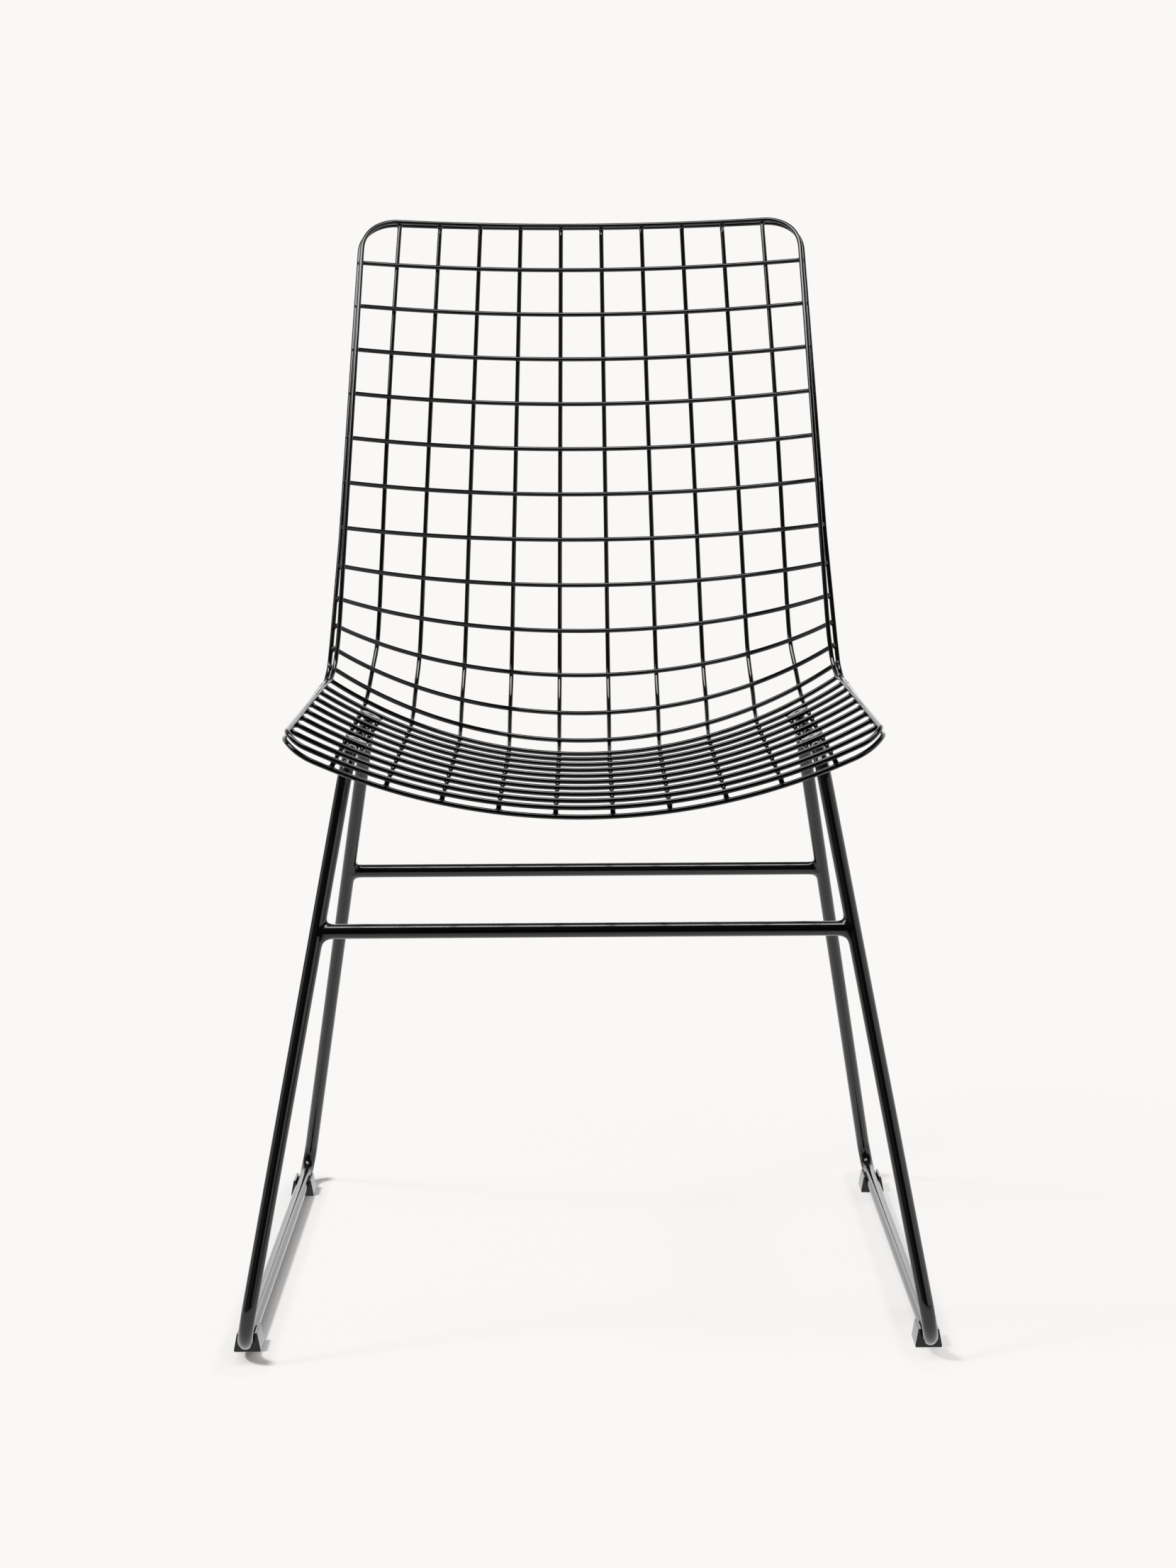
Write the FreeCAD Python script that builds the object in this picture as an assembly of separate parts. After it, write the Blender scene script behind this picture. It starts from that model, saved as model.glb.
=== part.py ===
import FreeCAD, Part
import math
import os

from FreeCAD import Vector

# Wire mesh chair: a dished seat shell of welded wire on a pair of bent rod side frames.
# Millimetres, +Z up, the sitter faces -Y, and the floor is Z = 0.

# Stock
wire_d = 3.8
rod_d = 11.0
weld_sink = 0.4

# Mesh counts
cross_wires = 21
long_wires = 10

# Shell profile on the centre line, in side view
seat_front_height = 413.3
seat_front_y = -45.0
seat_run = 451.7
seat_drop = 2.9
back_rise = 444.1
back_lean = 114.1
centre_bend_radius = 118.3

# Shell profile along the side rims, measured from the centre line
side_rise_front = 51.9
side_rise_bend = 59.3
side_rise_top = 5.0
side_forward_front = 3.4
side_forward_bend = 91.0
side_forward_top = 18.9
side_bend_radius = 29.2

# Shell width
rim_width_bend = 415.6
rim_narrowing_top = 36.4
rim_widening_front = 10.8
rim_corner_top = 30.0
front_rim_corner = 15.0
back_rim_corner = 23.0
wire_end_over = 0.6
rim_flare_bend = 4.0
rim_flare_front = 1.0
back_rim_step_top = 1.0
back_rim_step_back = -0.6
back_rim_step_bend = 1.9
back_rim_step_front = -0.7
first_flared_row = 10

# Spacing of the long wires, measured along the cross wires
long_pitch_top = 35.2
long_pitch_back = 39.6
long_pitch_bend = 41.9
long_pitch_front = 40.6

# Cross wire ends close up towards the bend, row after row, and open again on the seat
last_even_row = 7
first_seat_row = 14
end_pitch = 41.5
end_squeeze = 0.84
end_reopen = 0.68

# Side frames
floor_track = 508.0
foot_front_y = -41.2
foot_length = 563.7
mount_bar_front_y = 60.0
mount_bar_length = 217.0
front_foot_bend_radius = 30.0
rear_foot_bend_radius = 18.0
bar_bend_radius = 28.0

# Stretchers
front_stretcher_height = 312.0
rear_stretcher_height = 308.5
stretcher_weld_length = 7.0
stretcher_weld_height = 2.5

# Seat mounting
mount_lane_gap = 13.7
mount_wire_over = 10.0
mount_first_row = 14
mount_last_row = 19
screw_head_d = 17.5
screw_head_height = 2.4
screw_shank_d = 5.0
screw_shank_length = 8.5
screw_play = 0.15
screw_socket_flats = 4.0
screw_socket_depth = 1.4

# Glides
glide_length = 28.0
glide_base_width = 20.5
glide_top_width = 15.2
glide_height = 14.3
glide_sole = 4.4
glide_play = 0.1
glide_corner = 1.2
glide_from_front_corner = 55.0
glide_from_rear_corner = 50.0

wire_r = wire_d / 2
rod_r = rod_d / 2
layer = wire_d - weld_sink
no_bow = 0.00001
long_run_flat_share = 0.0004
rows = cross_wires + 1
rim_width_top = rim_width_bend - rim_narrowing_top
rim_width_front = rim_width_bend + rim_widening_front
rail_z = glide_sole + glide_play + rod_r
centre_lane = (long_wires + 1) / 2
front_rim_steps = [(0, 0.0), (rows, 0.0)]
back_rim_steps = [
    (0, back_rim_step_top), (last_even_row, back_rim_step_back),
    (first_seat_row, back_rim_step_bend), (rows, back_rim_step_front)]


# Small vector helpers

def unit(v):
    return v * (1.0 / v.Length)


def mix(a, b, share):
    return a * (1.0 - share) + b * share


def along(value, marks):
    """Straight interpolation in a list of (place, value) marks."""
    for (p0, v0), (p1, v1) in zip(marks, marks[1:]):
        if value <= p1:
            break
    return v0 + (v1 - v0) * (value - p0) / (p1 - p0)


# Bent wire paths

def line_or_arc(start, middle, end, flat_share=0.0):
    """An arc through three points, or a straight run where its bow is a small share of its length."""
    chord = unit(end - start)
    reach = middle - start
    bow = (reach - chord * reach.dot(chord)).Length
    if bow < max(no_bow, flat_share * (end - start).Length):
        return Part.LineSegment(start, end).toShape()
    return Part.Arc(start, middle, end).toShape()


def tangent_middle(start, heading, end):
    """Middle point of the arc that leaves start along heading and ends at end."""
    chord = end - start
    across = heading - unit(chord) * heading.dot(unit(chord))
    middle = mix(start, end, 0.5)
    if across.Length < 1e-7:
        return middle
    return middle + unit(across) * (chord.Length / 2 * math.tan(heading.getAngle(chord) / 2))


def two_arcs(start, heading, end, end_heading):
    """Two tangent arcs that join two headed points."""
    gap = end - start
    both = heading + end_heading
    spread = 2.0 * (1.0 - heading.dot(end_heading))
    pull = gap.dot(both)
    if spread < 1e-9:
        reach = gap.dot(gap) / (2.0 * pull)
    else:
        reach = (math.sqrt(pull * pull + spread * gap.dot(gap)) - pull) / spread
    meet = (start + heading * reach + end - end_heading * reach) * 0.5
    first = line_or_arc(start, tangent_middle(start, heading, meet), meet)
    second = line_or_arc(meet, tangent_middle(end, end_heading * -1.0, meet), end)
    return [first, second]


def edge_heading(edge, at_end):
    """Direction of an edge at its start or its end."""
    place = edge.LastParameter if at_end else edge.FirstParameter
    return unit(edge.tangentAt(place))


def chain(points, first_heading, last_heading):
    """Tangent arcs through a list of points."""
    headings = [first_heading]
    for before, here, after in zip(points, points[1:], points[2:]):
        ahead = after - here
        behind = here - before
        heading = ahead * (1.0 / ahead.dot(ahead)) + behind * (1.0 / behind.dot(behind))
        headings.append(unit(heading))
    headings.append(last_heading)
    edges = []
    for i in range(len(points) - 1):
        edges += two_arcs(points[i], headings[i], points[i + 1], headings[i + 1])
    return edges


def rounded_loop(corners, radii):
    """A closed path of straight runs, each corner rounded to its radius."""
    count = len(corners)
    bends = []
    for i, here in enumerate(corners):
        back = unit(corners[i - 1] - here)
        ahead = unit(corners[(i + 1) % count] - here)
        half = back.getAngle(ahead) / 2
        cut = radii[i] / math.tan(half)
        centre = here + unit(back + ahead) * (radii[i] / math.sin(half))
        bends.append((here + back * cut, centre + unit(here - centre) * radii[i],
                      here + ahead * cut))
    edges = []
    for bend, following in zip(bends, bends[1:] + bends[:1]):
        edges.append(Part.Arc(*bend).toShape())
        edges.append(Part.LineSegment(bend[2], following[0]).toShape())
    return edges


def swept(edges, diameter):
    """A round wire or rod along a path of tangent edges."""
    start = edges[0].Vertexes[0].Point
    ring = Part.Wire(Part.makeCircle(diameter / 2, start, edge_heading(edges[0], False)))
    return Part.Wire(edges).makePipeShell([ring], True, False)


def halved(edge):
    """A straight run or an arc as two equal ones."""
    low, high = edge.FirstParameter, edge.LastParameter
    places = [edge.valueAt(low + (high - low) * k / 4) for k in range(5)]
    return line_or_arc(*places[:3]), line_or_arc(*places[2:])


def closed_loop(edges, diameter):
    """A rod bent into a closed loop, joined end to end midway along its two longest straight runs."""
    by_run = sorted(range(len(edges)), key=lambda i: (
        not isinstance(edges[i].Curve, Part.Line), -edges[i].Length))
    first, second = sorted(by_run[:2])
    lead_out, lead_in = halved(edges[first])
    far_out, far_in = halved(edges[second])
    near = swept([lead_in] + edges[first + 1:second] + [far_out], diameter)
    far = swept([far_in] + edges[second + 1:] + edges[:first] + [lead_out], diameter)
    return near.fuse(far).removeSplitter().Solids[0]


# The shell: a profile on the centre line, one along each side rim, and arcs across

class Profile:
    """Two straight runs and the bend between them, in side view."""

    def __init__(self, top, knee, front, radius):
        self.top = top
        self.front = front
        self.radius = radius
        self.down = unit(knee - top)
        self.out = unit(front - knee)
        self.turn = self.down.getAngle(self.out)
        cut = radius * math.tan(self.turn / 2)
        self.back_run = (knee - top).Length - cut
        self.bend_run = radius * self.turn
        self.seat_run = (front - knee).Length - cut
        self.length = self.back_run + self.bend_run + self.seat_run
        self.knee_at = self.back_run + self.bend_run / 2
        square = self.out - self.down * self.out.dot(self.down)
        self.inward = unit(square)

    def at(self, run):
        """Point and heading at a length along the profile."""
        if run <= self.back_run:
            return self.top + self.down * run, self.down
        if run >= self.back_run + self.bend_run:
            rest = self.length - run
            return self.front - self.out * rest, self.out
        angle = (run - self.back_run) / self.radius
        start = self.top + self.down * self.back_run
        lift = self.radius * (1.0 - math.cos(angle))
        point = start + self.down * (self.radius * math.sin(angle)) + self.inward * lift
        return point, self.down * math.cos(angle) + self.inward * math.sin(angle)


seat_front = Vector(0, seat_front_y, seat_front_height)
seat_back = seat_front + Vector(0, seat_run, -seat_drop)
back_top = seat_back + Vector(0, back_lean, back_rise)
centre_line = Profile(back_top, seat_back, seat_front, centre_bend_radius)

side_line = Profile(
    back_top + Vector(0, -side_forward_top, side_rise_top),
    seat_back + Vector(0, -side_forward_bend, side_rise_bend),
    seat_front + Vector(0, -side_forward_front, side_rise_front),
    side_bend_radius)

row_pitch = centre_line.length / rows


def side_runs():
    """Length along the side rim at which each row ends."""
    runs = [0.0]
    for row in range(1, first_seat_row + 1):
        if row <= last_even_row:
            step = end_pitch
        elif row < first_seat_row:
            step = end_pitch * end_squeeze ** (row - last_even_row)
        else:
            step = end_pitch * end_reopen
        runs.append(runs[-1] + step)
    seat_rows = rows - first_seat_row
    step = (side_line.length - runs[-1]) / seat_rows
    runs += [runs[-1] + step * (k + 1) for k in range(seat_rows)]
    return runs


class Row:
    """One arc across the shell, from rim to rim, through the centre line."""

    def __init__(self, index, side_run):
        self.index = index
        run = index * row_pitch
        self.middle = centre_line.at(run)[0]
        self.end = side_line.at(side_run)[0]
        self.half = 0.5 * along(side_run, [
            (0.0, rim_width_top), (side_line.knee_at, rim_width_bend),
            (side_line.length, rim_width_front)])
        self.pitch = along(run, [
            (0.0, long_pitch_top), (row_pitch * last_even_row, long_pitch_back),
            (centre_line.knee_at, long_pitch_bend), (centre_line.length, long_pitch_front)])
        self.sink = self.middle - self.end
        self.depth = self.sink.Length
        self.radius = (self.half ** 2 + self.depth ** 2) / (2 * self.depth)

    def at(self, x):
        """Point of the arc at a distance from the middle plane."""
        fall = math.sqrt(self.radius ** 2 - x ** 2) - (self.radius - self.depth)
        return Vector(x, 0, 0) + self.end + unit(self.sink) * fall

    def x_at(self, run):
        """Distance from the middle plane at a length along the arc."""
        return self.radius * math.sin(run / self.radius)

    def heading(self, x):
        """Direction of the arc, towards +X."""
        slope = -x / math.sqrt(self.radius ** 2 - x ** 2)
        return unit(Vector(1, 0, 0) + unit(self.sink) * slope)


row_list = [Row(i, run) for i, run in enumerate(side_runs())]


def lane_x(row, lane):
    """Distance of a long wire from the middle plane at a row."""
    return row.x_at((lane - centre_lane) * row.pitch)


def rim_x(row, side, steps):
    """Distance of a rim from the middle plane: it flares at the bend, and the back rim steps aside."""
    bend_share = (row.index - first_flared_row) / (first_seat_row - first_flared_row)
    bend_share = min(1.0, max(0.0, bend_share)) ** 2
    seat_share = max(0.0, (row.index - first_seat_row) / (rows - first_seat_row))
    flare = rim_flare_bend + (rim_flare_front - rim_flare_bend) * seat_share
    return side * (row.half + flare * bend_share + along(row.index, steps))


def up_normal(index, x_of):
    """Direction square to the shell, on the sitter's side."""
    here = max(1, min(rows - 1, index))
    before = row_list[here - 1]
    after = row_list[here + 1]
    lengthwise = after.at(x_of(after)) - before.at(x_of(before))
    row = row_list[index]
    return unit(row.heading(x_of(row)).cross(lengthwise)) * -1.0


def lengthwise_points(x_of, offset):
    """A lane's point at every row, lifted off the row arcs by an offset."""
    points = []
    for index, row in enumerate(row_list):
        points.append(row.at(x_of(row)) + up_normal(index, x_of) * offset)
    return points


def lengthwise_edges(points, first, last):
    """A bow down the back, tangent arcs round the bend and a bow along the seat."""
    back_mid = (first + last_even_row) // 2
    seat_mid = (first_seat_row + last) // 2
    back = line_or_arc(points[first], points[back_mid], points[last_even_row],
                       long_run_flat_share)
    seat = line_or_arc(points[first_seat_row], points[seat_mid], points[last],
                       long_run_flat_share)
    bend = chain(points[last_even_row:first_seat_row + 1],
                 edge_heading(back, True), edge_heading(seat, False))
    return [back] + bend + [seat]


def stretched(edges, over):
    """The same path with a short straight run added at both ends."""
    start = edges[0].Vertexes[0].Point
    end = edges[-1].Vertexes[-1].Point
    lead_in = start - edge_heading(edges[0], False) * over
    lead_out = end + edge_heading(edges[-1], True) * over
    first = Part.LineSegment(lead_in, start).toShape()
    last = Part.LineSegment(end, lead_out).toShape()
    return [first] + edges + [last]


# Wires of the shell

def cross_wire(index):
    """One wire across the shell, its ends held between the two rims."""
    row = row_list[index]
    wider_rim = max(rim_x(row, 1, front_rim_steps), rim_x(row, 1, back_rim_steps))
    reach = wider_rim + wire_end_over
    edge = Part.Arc(row.at(-reach), row.at(0), row.at(reach)).toShape()
    return swept([edge], wire_d)


def long_wire(lane):
    """One wire under the cross wires, from the top edge to the front edge."""
    points = lengthwise_points(lambda row: lane_x(row, lane), -layer)
    return swept(stretched(lengthwise_edges(points, 0, rows), wire_end_over), wire_d)


def rim_edge_run(index, offset, corner):
    """The run of a rim along the top or front edge, short of its corners."""
    row = row_list[index]
    places = (-row.half + corner, 0.0, row.half - corner)
    points = [row.at(x) + up_normal(index, lambda r, share=x / row.half: share * r.half) * offset
              for x in places]
    return Part.Arc(*points).toShape()


def rim_side_run(side, offset, steps, corner):
    """The run of a rim down one side, short of its corners."""
    points = lengthwise_points(lambda row: rim_x(row, side, steps), offset)
    top_share = rim_corner_top / (points[1] - points[0]).Length
    front_share = corner / (points[-1] - points[-2]).Length
    points[0] = mix(points[0], points[1], top_share)
    points[-1] = mix(points[-1], points[-2], front_share)
    return lengthwise_edges(points, 0, rows)


def reversed_edges(edges):
    """The same path, run the other way."""
    back = []
    for edge in reversed(edges):
        start = edge.Vertexes[0].Point
        end = edge.Vertexes[-1].Point
        middle = edge.valueAt((edge.FirstParameter + edge.LastParameter) / 2)
        back.append(line_or_arc(end, middle, start))
    return back


def rim_path(side_offset, edge_offset, steps, corner):
    """A closed path round the shell: top edge, right side, front edge with its corners, left side."""
    top = [rim_edge_run(0, edge_offset, rim_corner_top)]
    right = rim_side_run(1, side_offset, steps, corner)
    front = reversed_edges([rim_edge_run(rows, edge_offset, corner)])
    left = reversed_edges(rim_side_run(-1, side_offset, steps, corner))
    loop = []
    sides = [top, right, front, left]
    for run, following in zip(sides, sides[1:] + sides[:1]):
        loop += run
        loop += two_arcs(run[-1].valueAt(run[-1].LastParameter), edge_heading(run[-1], True),
                         following[0].valueAt(following[0].FirstParameter),
                         edge_heading(following[0], False))
    return loop


# Seat mounting: a short wire beside each outer long wire, with the frame's bar under both

outer_wire_x = lane_x(row_list[(mount_first_row + mount_last_row) // 2], long_wires)


def mount_lane(side, share):
    """A straight lane between an outer long wire, at 0, and its mounting wire, at 1."""
    return lambda row: side * (outer_wire_x - mount_lane_gap * share)


def mount_wire(side):
    points = lengthwise_points(mount_lane(side, 1.0), -layer)
    middle = (mount_first_row + mount_last_row) // 2
    edge = line_or_arc(points[mount_first_row], points[middle], points[mount_last_row])
    return swept(stretched([edge], mount_wire_over), wire_d)


def between_rows(points, row):
    """The place midway between a row and the next one."""
    return mix(points[row], points[row + 1], 0.5)


def screw_seat(side, row):
    """Where a clamp screw sits: on the two wires, midway between two rows."""
    lane = mount_lane(side, 0.5)
    points = lengthwise_points(lane, wire_r - layer)
    return between_rows(points, row), up_normal(row, lane)


def clamp_screw(side, row):
    """A flat disc head with a hexagon socket on a plain shank."""
    seat, up = screw_seat(side, row)
    head = Part.makeCylinder(screw_head_d / 2, screw_head_height, seat, up)
    shank = Part.makeCylinder(screw_shank_d / 2, screw_shank_length, seat, up * -1.0)
    corner = screw_socket_flats / math.sqrt(3)
    across = unit(up.cross(Vector(0, 1, 0)))
    sideways = up.cross(across)
    rim = seat + up * (screw_head_height - screw_socket_depth)
    corners = [rim + across * (corner * math.cos(math.radians(60 * k)))
               + sideways * (corner * math.sin(math.radians(60 * k))) for k in range(7)]
    socket = Part.Face(Part.makePolygon(corners)).extrude(up * (screw_socket_depth + 1.0))
    return head.fuse(shank).cut(socket).removeSplitter()


screw_places = [(side, row) for side in (-1, 1) for row in (mount_first_row, mount_last_row - 1)]


# Base

def frame_corners(side):
    """The four corners of a side frame: front foot, rear foot, rear top, front top."""
    contact = lengthwise_points(mount_lane(side, 0.5), -(wire_r + rod_r))
    rear = between_rows(contact, mount_first_row)
    front = between_rows(contact, mount_last_row - 1)
    rear.x = front.x
    slope = (rear - front) * (1.0 / (rear.y - front.y))
    bar_front = front + slope * (mount_bar_front_y - front.y)
    bar_rear = bar_front + slope * mount_bar_length
    foot_front = Vector(side * floor_track / 2, foot_front_y, rail_z)
    foot_rear = foot_front + Vector(0, foot_length, 0)
    return [foot_front, foot_rear, bar_rear, bar_front]


def side_frame(side):
    """One rod, bent into a closed trapezoid, with a hole for each clamp screw."""
    radii = [front_foot_bend_radius, rear_foot_bend_radius, bar_bend_radius, bar_bend_radius]
    solid = closed_loop(rounded_loop(frame_corners(side), radii), rod_d)
    for place_side, row in screw_places:
        if place_side == side:
            seat, up = screw_seat(side, row)
            hole_r = screw_shank_d / 2 + screw_play
            depth = screw_shank_length + screw_play
            start = seat + up * rod_d
            solid = solid.cut(Part.makeCylinder(hole_r, depth + rod_d, start, up * -1.0))
    return solid


def at_height(low, high, height):
    return mix(low, high, (height - low.z) / (high.z - low.z))


def stretcher(ends, frames):
    """A straight rod between two legs, coped to them and flared by its welds."""
    left, right = ends
    heading = unit(right - left)
    length = (right - left).Length
    weld_end = rod_r + stretcher_weld_length
    flare_r = rod_r + stretcher_weld_height
    outline = [
        Vector(0, 0, 0), Vector(flare_r, 0, 0), Vector(flare_r, 0, rod_r),
        Vector(rod_r, 0, weld_end), Vector(rod_r, 0, length - weld_end),
        Vector(flare_r, 0, length - rod_r), Vector(flare_r, 0, length), Vector(0, 0, length)]
    edges = []
    for i in range(len(outline) - 1):
        start, end = outline[i], outline[i + 1]
        if i in (2, 4):
            inside = mix(start, end, 0.5)
            inward = stretcher_weld_height * 0.2
            edges.append(Part.Arc(start, inside - Vector(inward, 0, 0), end).toShape())
        else:
            edges.append(Part.LineSegment(start, end).toShape())
    edges.append(Part.LineSegment(outline[-1], outline[0]).toShape())
    face = Part.Face(Part.Wire(edges))
    solid = face.revolve(Vector(0, 0, 0), Vector(0, 0, 1), 360)
    turn = FreeCAD.Rotation(Vector(0, 0, 1), heading)
    solid.Placement = FreeCAD.Placement(left, turn)
    solid = solid.cut(frames[0]).cut(frames[1])
    return max(solid.Solids, key=lambda piece: piece.Volume)


def glide(side, centre_y):
    """A moulded saddle that clips on the floor rail."""
    base = glide_base_width / 2
    top = glide_top_width / 2
    block = Part.Face(Part.makePolygon([
        Vector(-base, 0, 0), Vector(base, 0, 0), Vector(top, 0, glide_height),
        Vector(-top, 0, glide_height), Vector(-base, 0, 0)])).extrude(Vector(0, glide_length, 0))
    long_edges = [edge for edge in block.Edges
                  if abs(edge.tangentAt(edge.FirstParameter).y) > 0.99]
    block = block.makeFillet(glide_corner, long_edges)
    slot_r = rod_r + glide_play
    bore = Part.makeCylinder(slot_r, glide_length, Vector(0, 0, rail_z), Vector(0, 1, 0))
    slot = Part.makeBox(2 * slot_r, glide_length, glide_height, Vector(-slot_r, 0, rail_z))
    block = block.cut(bore.fuse(slot))
    block.translate(Vector(side * floor_track / 2, centre_y - glide_length / 2, 0))
    return block


# Every piece by name

pieces = {}
front_rim = rim_path(layer, 0.0, front_rim_steps, front_rim_corner)
back_rim = rim_path(-layer, -2 * layer, back_rim_steps, back_rim_corner)
pieces["front_rim_wire"] = closed_loop(front_rim, wire_d)
pieces["back_rim_wire"] = closed_loop(back_rim, wire_d)
for i in range(1, cross_wires + 1):
    pieces["cross_wire_%02d" % i] = cross_wire(i)
for lane in range(1, long_wires + 1):
    pieces["long_wire_%02d" % lane] = long_wire(lane)

sides = {"left": -1, "right": 1}
for name, side in sides.items():
    pieces[name + "_mount_wire"] = mount_wire(side)
    pieces[name + "_side_frame"] = side_frame(side)
pieces["clamp_screws"] = Part.makeCompound([clamp_screw(*place) for place in screw_places])

frames = [pieces["left_side_frame"], pieces["right_side_frame"]]
left_corners = frame_corners(-1)
right_corners = frame_corners(1)
stretcher_places = (
    ("front", 0, 3, front_stretcher_height), ("rear", 1, 2, rear_stretcher_height))
for name, foot, top, height in stretcher_places:
    ends = [at_height(corners[foot], corners[top], height)
            for corners in (left_corners, right_corners)]
    pieces[name + "_stretcher"] = stretcher(ends, frames)

glide_places = {
    "front": foot_front_y + glide_from_front_corner,
    "rear": foot_front_y + foot_length - glide_from_rear_corner}
for end_name, centre_y in glide_places.items():
    for name, side in sides.items():
        pieces["%s_%s_glide" % (end_name, name)] = glide(side, centre_y)

# The origin is under the middle of the whole chair, on the floor
whole = Part.makeCompound(list(pieces.values()))
box = whole.optimalBoundingBox(False)
shift = Vector(-(box.XMin + box.XMax) / 2, -(box.YMin + box.YMax) / 2, -box.ZMin)

os.makedirs("parts", exist_ok=True)
for name, shape in pieces.items():
    shape.translate(shift)
    shape.exportStep(os.path.join("parts", name + ".step"))
    if not shape.isValid():
        print("not valid:", name)

print("pieces", len(pieces))
print("size", [round(v, 1) for v in (box.XLength, box.YLength, box.ZLength)])
print("origin moved by", [round(v, 2) for v in shift])
print("row pitch", round(row_pitch, 2))
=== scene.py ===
# %% Load the chair's solids
import math

import bpy
from mathutils import Matrix, Vector, noise


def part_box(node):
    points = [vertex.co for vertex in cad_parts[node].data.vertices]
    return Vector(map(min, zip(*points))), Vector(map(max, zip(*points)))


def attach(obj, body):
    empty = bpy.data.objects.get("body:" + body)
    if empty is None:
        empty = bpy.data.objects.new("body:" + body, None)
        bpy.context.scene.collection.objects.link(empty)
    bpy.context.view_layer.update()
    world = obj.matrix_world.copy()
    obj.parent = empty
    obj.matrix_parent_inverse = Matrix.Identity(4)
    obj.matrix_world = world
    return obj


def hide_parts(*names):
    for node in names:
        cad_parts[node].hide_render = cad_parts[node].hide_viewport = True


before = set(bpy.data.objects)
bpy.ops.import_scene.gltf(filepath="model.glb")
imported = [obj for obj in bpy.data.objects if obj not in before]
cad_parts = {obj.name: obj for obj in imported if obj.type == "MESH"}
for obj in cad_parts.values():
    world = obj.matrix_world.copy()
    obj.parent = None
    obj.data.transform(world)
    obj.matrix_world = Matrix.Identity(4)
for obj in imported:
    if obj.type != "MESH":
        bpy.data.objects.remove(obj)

bpy.context.view_layer.update()

# %% [markdown]
# # A wire mesh chair in a white studio
#
# The chair is a dished shell of thin steel wire, welded where the wires cross, held between
# two rim wires and clamped to two bent rod side frames. All the steel has a gloss black
# powder coat. This script loads the chair's solids, which say where each piece is and how
# large it is, and makes each piece again with the smooth skin, the weld fillets and the
# coating that a camera sees.
#
# Lengths are in metres, +Z is up, and the sitter faces -Y.

# %% [markdown]
# ## The camera
#
# The picture was taken with a long lens, a little above the seat and almost square to the
# chair. A long lens keeps the rear legs nearly as large as the front ones. The lens length
# comes from how fast the rows of wires shrink with distance. A matrix sets the camera's
# three directions in one step, which is clearer here than three Euler angles.

# %% Place the camera
PICTURE_HEIGHT = 2212
LENS_IN_PIXELS = 4400
SENSOR = 36.0
CAMERA_PLACE = Vector((0.0021, -2.49605, 0.70235))
CAMERA_TILT, CAMERA_ROLL, CAMERA_YAW = 0.12239, 0.006586, 0.0002966


def put_in_scene(name, data):
    """A new object for some data, linked to the scene."""
    thing = bpy.data.objects.new(name, data)
    bpy.context.scene.collection.objects.link(thing)
    return thing


def stand_at(thing, place, across, up, back):
    """Put an object at a place, its own X, Y and Z along three directions."""
    turn = Matrix((across, up, back)).transposed()
    thing.matrix_world = Matrix.Translation(place) @ turn.to_4x4()


def camera_directions(tilt, roll, yaw):
    """Right, down and forward of the camera."""
    forward = Vector((math.sin(yaw) * math.cos(tilt), math.cos(yaw) * math.cos(tilt),
                      -math.sin(tilt)))
    level = Vector((math.cos(yaw), -math.sin(yaw), 0.0))
    down = forward.cross(level)
    right = level * math.cos(roll) + down * math.sin(roll)
    return right, forward.cross(right), forward


right, down, forward = camera_directions(CAMERA_TILT, CAMERA_ROLL, CAMERA_YAW)
camera_data = bpy.data.cameras.new("studio_camera")
camera_data.lens = LENS_IN_PIXELS / PICTURE_HEIGHT * SENSOR
camera = put_in_scene("studio_camera", camera_data)
stand_at(camera, CAMERA_PLACE, right, -down, -forward)
bpy.context.scene.camera = camera
print("lens: %.1f mm" % camera_data.lens)

# %% [markdown]
# ## Node helpers
#
# Materials and geometry are both node trees, so one small helper serves both: it adds a node,
# sets its options, and fills its inputs either with plain values or with links from other
# nodes.

# %% Helpers for node trees


def add_node(tree, kind, inputs=None, **options):
    """A node with its options set, and its inputs given a value or linked to a socket."""
    node = tree.nodes.new(kind)
    for name, value in options.items():
        setattr(node, name, value)
    for key, value in (inputs or {}).items():
        if isinstance(value, bpy.types.NodeSocket):
            tree.links.new(value, node.inputs[key])
        else:
            node.inputs[key].default_value = value
    return node


def maths(tree, operation, first, second=0.0, **options):
    """One step of arithmetic in a node tree."""
    return add_node(tree, "ShaderNodeMath", {0: first, 1: second},
                    operation=operation, **options).outputs[0]


def add_sockets(tree, sockets, in_out="INPUT"):
    """Named sockets on a group, each with a kind and a first value."""
    for name, kind, value in sockets:
        socket = tree.interface.new_socket(name, in_out=in_out, socket_type="NodeSocket" + kind)
        if value is not None:
            socket.default_value = value


# %% [markdown]
# ## The coating
#
# Powder coat is sprayed on dry and melted in an oven, so it flows into a skin with a very
# fine orange peel, smoother than brushed paint. One group works out that skin for every
# coated piece: a height for the bump, and a roughness that wanders a little. The steel pieces
# differ only in their colour and in the values given to it.

# %% Make the coating group


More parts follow.
